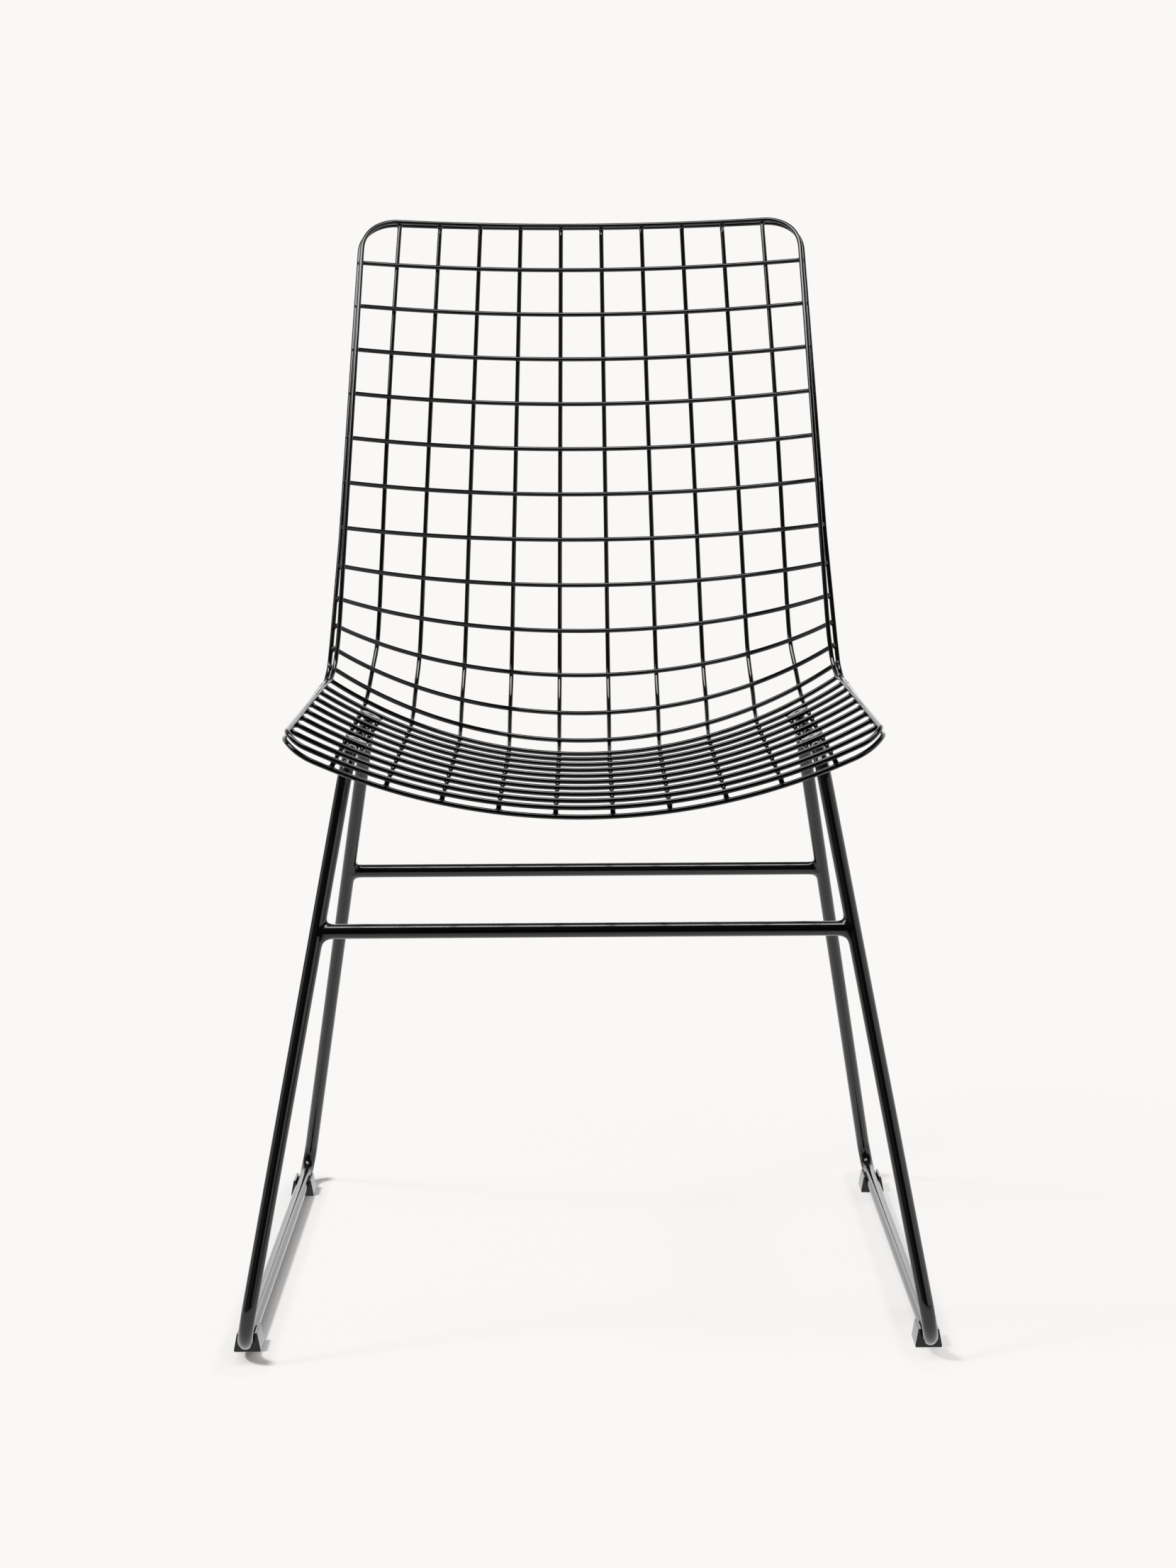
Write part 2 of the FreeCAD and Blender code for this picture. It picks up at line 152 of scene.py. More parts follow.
def coat_group():
    """Height and roughness of a powder coated skin."""
    group = bpy.data.node_groups.new("powder_coat_skin", "ShaderNodeTree")
    add_sockets(group, (("Peel Scale", "Float", 300.0), ("Sheen Scale", "Float", 40.0),
                        ("Smooth", "Float", 0.08), ("Rough", "Float", 0.14)))
    add_sockets(group, (("Height", "Float", None), ("Roughness", "Float", None)), "OUTPUT")
    given = add_node(group, "NodeGroupInput").outputs
    spot = add_node(group, "ShaderNodeTexCoord").outputs["Object"]
    peel = add_node(group, "ShaderNodeTexNoise", {
        "Vector": spot, "Scale": given["Peel Scale"], "Detail": 1.0, "Roughness": 0.4})
    patch = add_node(group, "ShaderNodeTexNoise", {
        "Vector": spot, "Scale": given["Sheen Scale"], "Detail": 3.0})
    spread = add_node(group, "ShaderNodeMapRange", {
        "Value": patch.outputs["Fac"], "From Min": 0.3, "From Max": 0.7,
        "To Min": given["Smooth"], "To Max": given["Rough"]})
    add_node(group, "NodeGroupOutput", {
        "Height": peel.outputs["Fac"], "Roughness": spread.outputs["Result"]})
    return group


skin = coat_group()
print("coating group:", [item.name for item in skin.interface.items_tree])

# %% [markdown]
# ## The materials
#
# Four finishes cover the chair: the coat on the wires, the same coat on the thicker rods,
# where the peel is a little coarser, the coated screws, and the satin plastic of the glides.
# The grain of the plastic breaks up part of its shine, so its IOR is a little lower than that
# of a polished plastic.

# %% Mix the materials
COAT_BLACK = (0.0018, 0.0018, 0.0019)
SCREW_BLACK = (0.006, 0.006, 0.0065)
CHARCOAL = (0.005, 0.005, 0.0049)
COAT_IOR, PLASTIC_IOR = 1.5, 1.38


def plain_finish(name, colour, ior):
    """A material of one colour, without its skin."""
    material = bpy.data.materials.new(name)
    material.use_nodes = True
    shader = material.node_tree.nodes["Principled BSDF"]
    shader.inputs["Base Color"].default_value = colour + (1.0,)
    shader.inputs["IOR"].default_value = ior
    return material


def lay_skin(material, roughness, height, strength, depth):
    """Lead a skin's roughness and height to a material's shader."""
    tree = material.node_tree
    shader = tree.nodes["Principled BSDF"]
    bump = add_node(tree, "ShaderNodeBump", {
        "Strength": strength, "Distance": depth, "Height": height})
    tree.links.new(roughness, shader.inputs["Roughness"])
    tree.links.new(bump.outputs["Normal"], shader.inputs["Normal"])


def coated_steel(name, colour, peel_scale, peel_depth, smooth, rough):
    """Gloss black powder coat over steel."""
    material = plain_finish(name, colour, COAT_IOR)
    surface = add_node(material.node_tree, "ShaderNodeGroup", {
        "Peel Scale": peel_scale, "Smooth": smooth, "Rough": rough}, node_tree=skin).outputs
    lay_skin(material, surface["Roughness"], surface["Height"], strength=1.0, depth=peel_depth)
    return material


def satin_plastic(name, colour):
    """Moulded plastic with a fine spark eroded grain."""
    material = plain_finish(name, colour, PLASTIC_IOR)
    tree = material.node_tree
    spot = add_node(tree, "ShaderNodeTexCoord").outputs["Object"]
    grain = add_node(tree, "ShaderNodeTexNoise", {"Vector": spot, "Scale": 2600.0, "Detail": 3.0})
    smudge = add_node(tree, "ShaderNodeTexNoise", {"Vector": spot, "Scale": 130.0})
    sheen = add_node(tree, "ShaderNodeMapRange", {
        "Value": smudge.outputs["Fac"], "To Min": 0.11, "To Max": 0.18})
    lay_skin(material, sheen.outputs["Result"], grain.outputs["Fac"], strength=0.25,
             depth=0.00006)
    return material


wire_coat = coated_steel("wire_coat_finish", COAT_BLACK, peel_scale=260.0,
                         peel_depth=0.000006, smooth=0.07, rough=0.12)
rod_coat = coated_steel("rod_coat_finish", COAT_BLACK, peel_scale=220.0,
                        peel_depth=0.000012, smooth=0.13, rough=0.18)
screw_coat = coated_steel("screw_coat_finish", SCREW_BLACK, peel_scale=400.0,
                          peel_depth=0.000008, smooth=0.1, rough=0.16)
glide_plastic = satin_plastic("glide_plastic_finish", CHARCOAL)
print("finishes:", [m.name for m in (wire_coat, rod_coat, screw_coat, glide_plastic)])

# %% [markdown]
# ## The rule behind the shell
#
# A shell like this is pressed over a former, so its shape follows a rule: one side view on
# the middle line, a second side view along the rims, and a circular arc across at every row
# of wire. Wires pushed into place one by one would miss each other by a millimetre at the
# crossings. With a rule they meet by themselves, and one changed number moves them all.

# %% Sizes of the wires and the two side views
MM = 0.001
WIRE_R, ROD_R = 1.9 * MM, 5.5 * MM
LAYER = 3.4 * MM
CROSS_WIRES, LONG_WIRES = 21, 10
ROWS = CROSS_WIRES + 1
CENTRE_LANE = (LONG_WIRES + 1) / 2
SEAT_FRONT_Y, SEAT_FRONT_Z = -45.0 * MM, 413.3 * MM
FRONT_TO_BACK = Vector((0.0, 451.7, -2.9)) * MM
BACK_TO_TOP = Vector((0.0, 114.1, 444.1)) * MM
RIM_OFF_TOP = Vector((0.0, -18.9, 5.0)) * MM
RIM_OFF_BACK = Vector((0.0, -91.0, 59.3)) * MM
RIM_OFF_FRONT = Vector((0.0, -3.4, 51.9)) * MM
MIDDLE_BEND_R, RIM_BEND_R = 118.3 * MM, 29.2 * MM
FOOT_FRONT_Y = -41.2 * MM
GLIDE_FROM_FRONT = 55.0 * MM


class SideView:
    """Two straight runs and the bend between them, seen from the side."""

    def __init__(self, top, knee, front, radius):
        self.top, self.front, self.radius = top, front, radius
        self.down = (knee - top).normalized()
        self.out = (front - knee).normalized()
        self.inward = (self.out - self.down * self.out.dot(self.down)).normalized()
        angle = self.down.angle(self.out)
        cut = radius * math.tan(angle / 2)
        self.back_run = (knee - top).length - cut
        self.bend_run = radius * angle
        self.length = self.back_run + self.bend_run + (front - knee).length - cut
        self.knee_at = self.back_run + self.bend_run / 2

    def at(self, run):
        """The point at a length along the line."""
        if run <= self.back_run:
            return self.top + self.down * run
        if run >= self.back_run + self.bend_run:
            return self.front - self.out * (self.length - run)
        angle = (run - self.back_run) / self.radius
        start = self.top + self.down * self.back_run
        return (start + self.down * (self.radius * math.sin(angle))
                + self.inward * (self.radius * (1.0 - math.cos(angle))))


glide_low, glide_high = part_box("front_left_glide")
y_shift = (glide_low[1] + glide_high[1]) / 2 - FOOT_FRONT_Y - GLIDE_FROM_FRONT
seat_front = Vector((0.0, y_shift + SEAT_FRONT_Y, SEAT_FRONT_Z))
seat_back = seat_front + FRONT_TO_BACK
back_top = seat_back + BACK_TO_TOP
middle_view = SideView(back_top, seat_back, seat_front, MIDDLE_BEND_R)
rim_view = SideView(back_top + RIM_OFF_TOP, seat_back + RIM_OFF_BACK,
                    seat_front + RIM_OFF_FRONT, RIM_BEND_R)
row_pitch = middle_view.length / ROWS
print("rows are %.1f mm apart on the middle line" % (row_pitch / MM))

# %% [markdown]
# ## The rows
#
# On the middle line the cross wires are evenly spaced. At the rims they can't be: the rim
# goes round the inside of the bend and is shorter, so there the rows close up like the ribs
# of a fan. Each row is a circular arc through its two ends and its middle.

# %% Lay out the rows
LAST_EVEN_ROW = 7
FIRST_SEAT_ROW = 14
END_PITCH = 41.5 * MM
END_SQUEEZE = 0.84
END_REOPEN = 0.68
WIDTH_TOP, WIDTH_BEND, WIDTH_FRONT = 379.2 * MM, 415.6 * MM, 426.4 * MM
LANE_TOP, LANE_BACK, LANE_BEND, LANE_FRONT = 35.2 * MM, 39.6 * MM, 41.9 * MM, 40.6 * MM


def between(value, marks):
    """Straight interpolation in a list of (place, value) marks."""
    for (p0, v0), (p1, v1) in zip(marks, marks[1:]):
        if value <= p1:
            break
    return v0 + (v1 - v0) * (value - p0) / (p1 - p0)


def rim_runs():
    """Length along the rim at which each row ends."""
    runs = [0.0]
    for row in range(1, FIRST_SEAT_ROW + 1):
        step = END_PITCH
        if row == FIRST_SEAT_ROW:
            step *= END_REOPEN
        elif row > LAST_EVEN_ROW:
            step *= END_SQUEEZE ** (row - LAST_EVEN_ROW)
        runs.append(runs[-1] + step)
    seat_step = (rim_view.length - runs[-1]) / (ROWS - FIRST_SEAT_ROW)
    return runs + [runs[-1] + seat_step * (k + 1) for k in range(ROWS - FIRST_SEAT_ROW)]


class Row:
    """One arc across the shell, from rim to rim, through the middle line."""

    def __init__(self, index, rim_run):
        self.index = index
        run = index * row_pitch
        self.end = rim_view.at(rim_run)
        self.half = 0.5 * between(rim_run, [
            (0.0, WIDTH_TOP), (rim_view.knee_at, WIDTH_BEND), (rim_view.length, WIDTH_FRONT)])
        self.lane = between(run, [
            (0.0, LANE_TOP), (row_pitch * LAST_EVEN_ROW, LANE_BACK),
            (middle_view.knee_at, LANE_BEND), (middle_view.length, LANE_FRONT)])
        sink = middle_view.at(run) - self.end
        self.depth = sink.length
        self.sink = sink.normalized()
        self.radius = (self.half ** 2 + self.depth ** 2) / (2 * self.depth)

    def at(self, x):
        """The point of the arc at a distance from the middle plane."""
        fall = math.sqrt(self.radius ** 2 - x ** 2) - (self.radius - self.depth)
        return Vector((x, 0.0, 0.0)) + self.end + self.sink * fall

    def lane_x(self, lane):
        """Where a long wire crosses, measured from the middle plane."""
        return self.radius * math.sin((lane - CENTRE_LANE) * self.lane / self.radius)

    def heading(self, x):
        """The direction of the arc, towards +X."""
        slope = -x / math.sqrt(self.radius ** 2 - x ** 2)
        return (Vector((1.0, 0.0, 0.0)) + self.sink * slope).normalized()


rows = [Row(index, run) for index, run in enumerate(rim_runs())]
print("shell width %.0f mm at the top, %.0f mm at the front"
      % (2 * rows[0].half / MM, 2 * rows[-1].half / MM))

# %% [markdown]
# ## Paths with smooth bends
#
# A bending machine knows two things, a straight run and an arc, and it never leaves a kink
# between them. `Bend` is that arc: it leaves a point along a heading and ends at another
# point. Two such arcs join any two headed points, so a chain of them goes through all the
# rows of a wire. Each arc gives points close enough together that its facets can't be seen.

# %% Arcs and chains of arcs
FINEST_TURN = math.radians(4)
LONGEST_STEP = 9.0 * MM
HARDLY_TURNED, HARDLY_SPREAD = 1e-4, 1e-7


class Bend:
    """An arc that leaves a point along a heading and ends at another point."""

    def __init__(self, start, heading, end):
        chord = end - start
        self.start, self.heading, self.end = start, heading, end
        square = chord - heading * chord.dot(heading)
        self.turn = 2 * math.atan2(square.length, chord.dot(heading))
        self.square = square.normalized()
        self.straight = self.turn < HARDLY_TURNED
        half = math.sin(self.turn / 2)
        self.radius = 0.0 if self.straight else chord.length / (2 * half)
        self.length = chord.length if self.straight else self.radius * self.turn
        self.end_heading = (heading * math.cos(self.turn)
                            + self.square * math.sin(self.turn)).normalized()

    def at(self, angle):
        """The point after some of the turn."""
        return (self.start + self.heading * (self.radius * math.sin(angle))
                + self.square * (self.radius * (1.0 - math.cos(angle))))

    def points(self):
        """The points after the start, up to the end."""
        count = math.ceil(max(self.turn / FINEST_TURN, self.length / LONGEST_STEP, 1))
        if self.straight:
            found = [self.start.lerp(self.end, k / count) for k in range(1, count)]
        else:
            found = [self.at(self.turn * k / count) for k in range(1, count)]
        return found + [self.end]

    def reversed(self):
        """The same arc, run the other way."""
        return Bend(self.end, -self.end_heading, self.start)


def bow(start, middle, end, flat_share=0.0):
    """The arc through three points, or a straight run where it is nearly flat."""
    chord, reach = end - start, middle - start
    rise = (reach - chord * (reach.dot(chord) / chord.length_squared)).length
    if rise < flat_share * chord.length:
        return Bend(start, chord.normalized(), end)
    heading = reach / reach.length_squared - chord / chord.length_squared
    return Bend(start, heading.normalized(), end)


def two_arcs(start, heading, end, end_heading):
    """Two tangent arcs that join two headed points."""
    gap = end - start
    spread = 2.0 * (1.0 - heading.dot(end_heading))
    pull = gap.dot(heading + end_heading)
    if spread < HARDLY_SPREAD:
        reach = gap.dot(gap) / (2.0 * pull)
    else:
        reach = (math.sqrt(pull * pull + spread * gap.dot(gap)) - pull) / spread
    meet = (start + heading * reach + end - end_heading * reach) * 0.5
    first = Bend(start, heading, meet)
    return [first, Bend(meet, first.end_heading, end)]


def trace(path):
    """All the points of a path."""
    points = [path[0].start]
    for part in path:
        points += part.points()
    return points


front_row = bow(*[rows[-1].at(rows[-1].half * share) for share in (-1, 0, 1)])
print("the front row's arc has", len(trace([front_row])), "points")

# %% [markdown]
# ## Lanes across the rows
#
# A wire that runs lengthwise crosses every row somewhere. A lane says where: it is a function
# that gives, for a row, the distance from the middle plane. The long wires, the rims and the
# mounting wires all follow lanes, lifted off the rows by so many layers. Down the back and
# along the seat such a wire is one long bow, and only round the bend does it turn from row
# to row.

# %% Lay out the lanes
LONG_RUN_FLAT_SHARE = 0.0004
FIRST_FLARED_ROW = 10
RIM_FLARE_BEND, RIM_FLARE_FRONT = 4.0 * MM, 1.0 * MM
FRONT_RIM_STEPS = [(0, 0.0), (ROWS, 0.0)]
BACK_RIM_STEPS = [(0, 1.0 * MM), (LAST_EVEN_ROW, -0.6 * MM), (FIRST_SEAT_ROW, 1.9 * MM),
                  (ROWS, -0.7 * MM)]


def long_lane(number):
    """The lane of a long wire, counted from the left."""
    return lambda row: row.lane_x(number)


def rim_lane(side, steps):
    """A rim's lane: both rims flare at the bend, and the back one steps aside a little."""
    def x_of(row):
        bend_share = (row.index - FIRST_FLARED_ROW) / (FIRST_SEAT_ROW - FIRST_FLARED_ROW)
        bend_share = min(1.0, max(0.0, bend_share)) ** 2
        seat_share = max(0.0, (row.index - FIRST_SEAT_ROW) / (ROWS - FIRST_SEAT_ROW))
        flare = RIM_FLARE_BEND + (RIM_FLARE_FRONT - RIM_FLARE_BEND) * seat_share
        return side * (row.half + flare * bend_share + between(row.index, steps))
    return x_of


def up_normal(index, lane):
    """The direction square to the shell, on the sitter's side."""
    here = max(1, min(ROWS - 1, index))
    before, after = rows[here - 1], rows[here + 1]
    lengthwise = after.at(lane(after)) - before.at(lane(before))
    return -rows[index].heading(lane(rows[index])).cross(lengthwise).normalized()


def lane_points(lane, offset):
    """A lane's point at every row, lifted off the row arcs."""
    return [row.at(lane(row)) + up_normal(row.index, lane) * offset for row in rows]


def lane_path(points):
    """A bow down the back, tangent arcs round the bend and a bow along the seat."""
    back = bow(points[0], points[LAST_EVEN_ROW // 2], points[LAST_EVEN_ROW],
               LONG_RUN_FLAT_SHARE)
    seat = bow(points[FIRST_SEAT_ROW], points[(FIRST_SEAT_ROW + ROWS) // 2], points[ROWS],
               LONG_RUN_FLAT_SHARE)
    knots = points[LAST_EVEN_ROW:FIRST_SEAT_ROW + 1]
    headings = [back.end_heading]
    for before, here, after in zip(knots, knots[1:], knots[2:]):
        ahead, behind = after - here, here - before
        headings.append((ahead / ahead.length_squared + behind / behind.length_squared)
                        .normalized())
    headings.append(seat.heading)
    path = [back]
    for k in range(len(knots) - 1):
        path += two_arcs(knots[k], headings[k], knots[k + 1], headings[k + 1])
    return path + [seat]


first_lane = lane_path(lane_points(long_lane(1), -LAYER))
print("the first long wire's path has", len(first_lane), "arcs and", len(trace(first_lane)),
      "points")

# %% [markdown]
# ## A tree that draws wire
#
# Every wire and rod of the chair is a round bar that follows a path, so one Geometry Nodes
# tree makes them all. The path comes in as a mesh of edges, turns into a curve, and a circle
# is swept along it. At a cut end the circle shrinks over about the last half millimetre,
# because melted powder rounds off the sharp edge. A closed loop has no ends, so there the
# shrinking is switched off.

# %% Build the wire tree
WIRE_SIDES, ROD_SIDES = 20, 40
END_ROUND = 0.6 * MM


def wire_tree():
    """A round bar along every path of the incoming mesh."""
    tree = bpy.data.node_groups.new("bar_along_a_path", "GeometryNodeTree")
    add_sockets(tree, (("Path", "Geometry", None), ("Radius", "Float", WIRE_R),
                       ("Sides", "Int", WIRE_SIDES), ("End Round", "Float", END_ROUND),
                       ("Finish", "Material", None)))
    add_sockets(tree, (("Bar", "Geometry", None),), "OUTPUT")
    given = add_node(tree, "NodeGroupInput").outputs
    curve = add_node(tree, "GeometryNodeMeshToCurve", {"Mesh": given["Path"]})
    ring = add_node(tree, "GeometryNodeCurvePrimitiveCircle", {
        "Resolution": given["Sides"], "Radius": given["Radius"]})
    place = add_node(tree, "GeometryNodeSplineParameter").outputs["Length"]
    whole = add_node(tree, "GeometryNodeSplineLength").outputs["Length"]
    to_end = maths(tree, "MINIMUM", place, maths(tree, "SUBTRACT", whole, place))
    eased = maths(tree, "DIVIDE", to_end, given["End Round"], use_clamp=True)
    short = maths(tree, "SUBTRACT", 1.0, eased)
    swell = maths(tree, "SQRT", maths(tree, "SUBTRACT", 1.0, maths(
        tree, "MULTIPLY", short, short)))
    cut = maths(tree, "DIVIDE", given["End Round"], given["Radius"])
    size = maths(tree, "SUBTRACT", 1.0, maths(
        tree, "MULTIPLY", cut, maths(tree, "SUBTRACT", 1.0, swell)))
    closed = add_node(tree, "GeometryNodeInputSplineCyclic").outputs[0]
    bar = add_node(tree, "GeometryNodeCurveToMesh", {
        "Curve": curve.outputs[0], "Profile Curve": ring.outputs[0],
        "Scale": maths(tree, "MAXIMUM", size, closed), "Fill Caps": True})
    smooth = add_node(tree, "GeometryNodeSetShadeSmooth", {"Geometry": bar.outputs[0]})
    real = add_node(tree, "GeometryNodeRealizeInstances", {"Geometry": smooth.outputs[0]})
    done = add_node(tree, "GeometryNodeSetMaterial", {
        "Geometry": real.outputs[0], "Material": given["Finish"]})
    add_node(tree, "NodeGroupOutput", {"Bar": done.outputs[0]})
    return tree


bar_tree = wire_tree()
print("bar tree inputs:", [i.name for i in bar_tree.interface.items_tree if i.in_out == "INPUT"])

# %% [markdown]
# ## From a path to a mesh
#
# A tree works on an object through a Geometry Nodes modifier, whose inputs are set by their
# identifiers. What it makes is live, but the chair is kept as plain meshes, so the evaluated
# result is copied into the object and the modifier taken off again. A circle can only shrink
# where the path has points, so a cut end first gets a few more of them.

# %% Helpers that run a tree
END_STEPS = (0.03, 0.13, 0.3, 0.6, 1.0)


def with_round_ends(points):
    """A path with a few more points close to its cut ends."""
    def eased(first, second):
        heading = (second - first).normalized()
        return [first] + [first + heading * (END_ROUND * step) for step in END_STEPS]
    return eased(points[0], points[1]) + points[1:-1] + eased(points[-1], points[-2])[::-1]


def path_object(name, points, closed):
    """A mesh of edges along a path."""
    count = len(points)
    edges = [(k, (k + 1) % count) for k in range(count if closed else count - 1)]
    mesh = bpy.data.meshes.new(name)
    mesh.from_pydata([tuple(point) for point in points], edges, [])
    return put_in_scene(name, mesh)


def keep_result(piece):
    """Turn what an object's modifiers make into its plain mesh."""
    view = bpy.context.evaluated_depsgraph_get()
    mesh = bpy.data.meshes.new_from_object(piece.evaluated_get(view), depsgraph=view)
    piece.modifiers.clear()
    start_mesh = piece.data
    piece.data = mesh
    bpy.data.meshes.remove(start_mesh)
    mesh.name = piece.name


def grow(piece, tree, values):
    """Run a tree on an object, each input set by its identifier, and keep the result."""
    modifier = piece.modifiers.new("grow", "NODES")
    modifier.node_group = tree
    for item in tree.interface.items_tree:
        if item.in_out == "INPUT" and item.name in values:
            modifier[item.identifier] = values[item.name]
    keep_result(piece)


print("a cut end gets", len(END_STEPS), "more points")

# %% [markdown]
# ## Bars that stand for the solids
#
# Each bar takes the place of one solid of the loaded frame: it rides on the root body, and the
# solid is hidden. The two come from one rule, so their boxes should agree, and the largest
# difference is printed as a check.

# %% A bar for a solid
WIRE_STOCK = (WIRE_R, WIRE_SIDES, wire_coat, "wire_coat")
ROD_STOCK = (ROD_R, ROD_SIDES, rod_coat, "rod_coat")
box_gaps = {}


def corner_gap(piece, node):
    """How far the corners of a piece's box are from its solid's box."""
    low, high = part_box(node)
    spots = [vertex.co for vertex in piece.data.vertices]
    gaps = []
    for axis in range(3):
        places = [spot[axis] for spot in spots]
        gaps += [abs(min(places) - low[axis]), abs(max(places) - high[axis])]
    return max(gaps)


def stand_for(piece, node):
    """Let a finished piece ride on the root body, hide its solid and note how far their boxes
    differ.
    """
    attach(piece, "root")
    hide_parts(node)
    box_gaps[node] = corner_gap(piece, node)


def bar(node, points, stock, closed=False):
    """A coated bar along a path, in place of a solid."""
    radius, sides, finish, slot = stock
    path = points if closed else with_round_ends(points)
    piece = path_object("coated_" + node, path, closed)
    grow(piece, bar_tree, {"Radius": radius, "Sides": sides, "Finish": finish,
                           "End Round": END_ROUND})
    stand_for(piece, node)


print("stock: wire %.1f mm, rod %.1f mm" % (2 * WIRE_R / MM, 2 * ROD_R / MM))

# %% [markdown]
# ## The wires of the shell
#
# The cross wires lie on top, on the sitter's side, and their ends are caught between the two
# rims. The long wires run under them, one layer lower. A layer is a little less than a wire's
# thickness, because the resistance weld presses the wires into each other.

# %% Bend the cross wires and the long wires
END_OVER = 0.6 * MM


def stretched(points, over):
    """A path made a little longer at both ends."""
    first = points[0] + (points[0] - points[1]).normalized() * over
    last = points[-1] + (points[-1] - points[-2]).normalized() * over
    return [first] + points + [last]


for row in rows[1:-1]:
    rim_reach = [rim_lane(1, steps)(row) for steps in (FRONT_RIM_STEPS, BACK_RIM_STEPS)]
    reach = max(rim_reach) + END_OVER
    arc = bow(row.at(-reach), row.at(0.0), row.at(reach))
    bar("cross_wire_%02d" % row.index, trace([arc]), WIRE_STOCK)
for number in range(1, LONG_WIRES + 1):
    points = trace(lane_path(lane_points(long_lane(number), -LAYER)))
    bar("long_wire_%02d" % number, stretched(points, END_OVER), WIRE_STOCK)
print("worst box gap of the shell's wires: %.3f mm" % (max(box_gaps.values()) / MM))

# %% [markdown]
# ## The rims
#
# Two closed rings hold the ends of all the wires between them, one on the sitter's side and
# one behind. They are bent apart from each other, so the back ring wanders a millimetre or
# two from the front one: out at the bend, in at the front corners.

# %% Bend the two rims
CORNER_TOP, FRONT_RIM_CORNER, BACK_RIM_CORNER = 30.0 * MM, 15.0 * MM, 23.0 * MM


def edge_run(index, offset, corner):
    """The run of a rim along the top or front edge, short of its corners."""
    row = rows[index]
    points = []
    for x in (corner - row.half, 0.0, row.half - corner):
        share = x / row.half
        points.append(row.at(x) + up_normal(index, lambda r: share * r.half) * offset)
    return bow(*points)


def side_run(side, offset, steps, corner):
    """The run of a rim down one side, short of its corners."""
    points = lane_points(rim_lane(side, steps), offset)
    points[0] = points[0].lerp(points[1], CORNER_TOP / (points[1] - points[0]).length)
    points[-1] = points[-1].lerp(points[-2], corner / (points[-1] - points[-2]).length)
    return lane_path(points)


def rim_path(side_offset, edge_offset, steps, corner):
    """A closed path round the shell: top edge, right side, front edge, left side."""
    sides = [[edge_run(0, edge_offset, CORNER_TOP)],
             side_run(1, side_offset, steps, corner),
             [edge_run(ROWS, edge_offset, corner).reversed()],
             [part.reversed() for part in reversed(side_run(-1, side_offset, steps, corner))]]
    path = []
    for run, following in zip(sides, sides[1:] + sides[:1]):
        path += run + two_arcs(run[-1].end, run[-1].end_heading,
                               following[0].start, following[0].heading)
    return path


front_rim = rim_path(LAYER, 0.0, FRONT_RIM_STEPS, FRONT_RIM_CORNER)
back_rim = rim_path(-LAYER, -2 * LAYER, BACK_RIM_STEPS, BACK_RIM_CORNER)
for node, path in (("front_rim_wire", front_rim), ("back_rim_wire", back_rim)):
    bar(node, trace(path)[:-1], WIRE_STOCK, closed=True)
    print(node, "box gap %.3f mm" % (box_gaps[node] / MM))

# %% [markdown]
# ## The seat mounting wires
#
# Beside each outer long wire a short wire is welded under six of the rows. The two make a
# pair of rails that a clamp screw's head can bear on, with the frame's bar under both.

# %% Bend the mounting wires
SIDES = (("left", -1), ("right", 1))
MOUNT_FIRST_ROW, MOUNT_LAST_ROW = 14, 19
MOUNT_MIDDLE_ROW = (MOUNT_FIRST_ROW + MOUNT_LAST_ROW) // 2
MOUNT_LANE_GAP = 13.7 * MM
MOUNT_OVER = 10.0 * MM
outer_x = rows[MOUNT_MIDDLE_ROW].lane_x(LONG_WIRES)


def mount_lane(side, share):
    """A lane between an outer long wire, at 0, and its mounting wire, at 1."""
    return lambda row: side * (outer_x - MOUNT_LANE_GAP * share)


for name, side in SIDES:
    points = lane_points(mount_lane(side, 1.0), -LAYER)
    arc = bow(points[MOUNT_FIRST_ROW], points[MOUNT_MIDDLE_ROW], points[MOUNT_LAST_ROW])
    bar(name + "_mount_wire", stretched(trace([arc]), MOUNT_OVER), WIRE_STOCK)
print("mounting wires %.0f mm long" % ((arc.length + 2 * MOUNT_OVER) / MM))

# %% [markdown]
# ## A tree that places welds and screws
#
# The shell has more than three hundred welds. Each one sits where two wires cross, with its
# own two directions: one from the lower wire to the upper, one along the upper wire. Points
# carry those directions as attributes, `Axes to Rotation` turns them into a rotation, and a
# small random size keeps the welds from looking stamped. The same tree later places the
# clamp screws, with no randomness.

# %% Build the placing tree


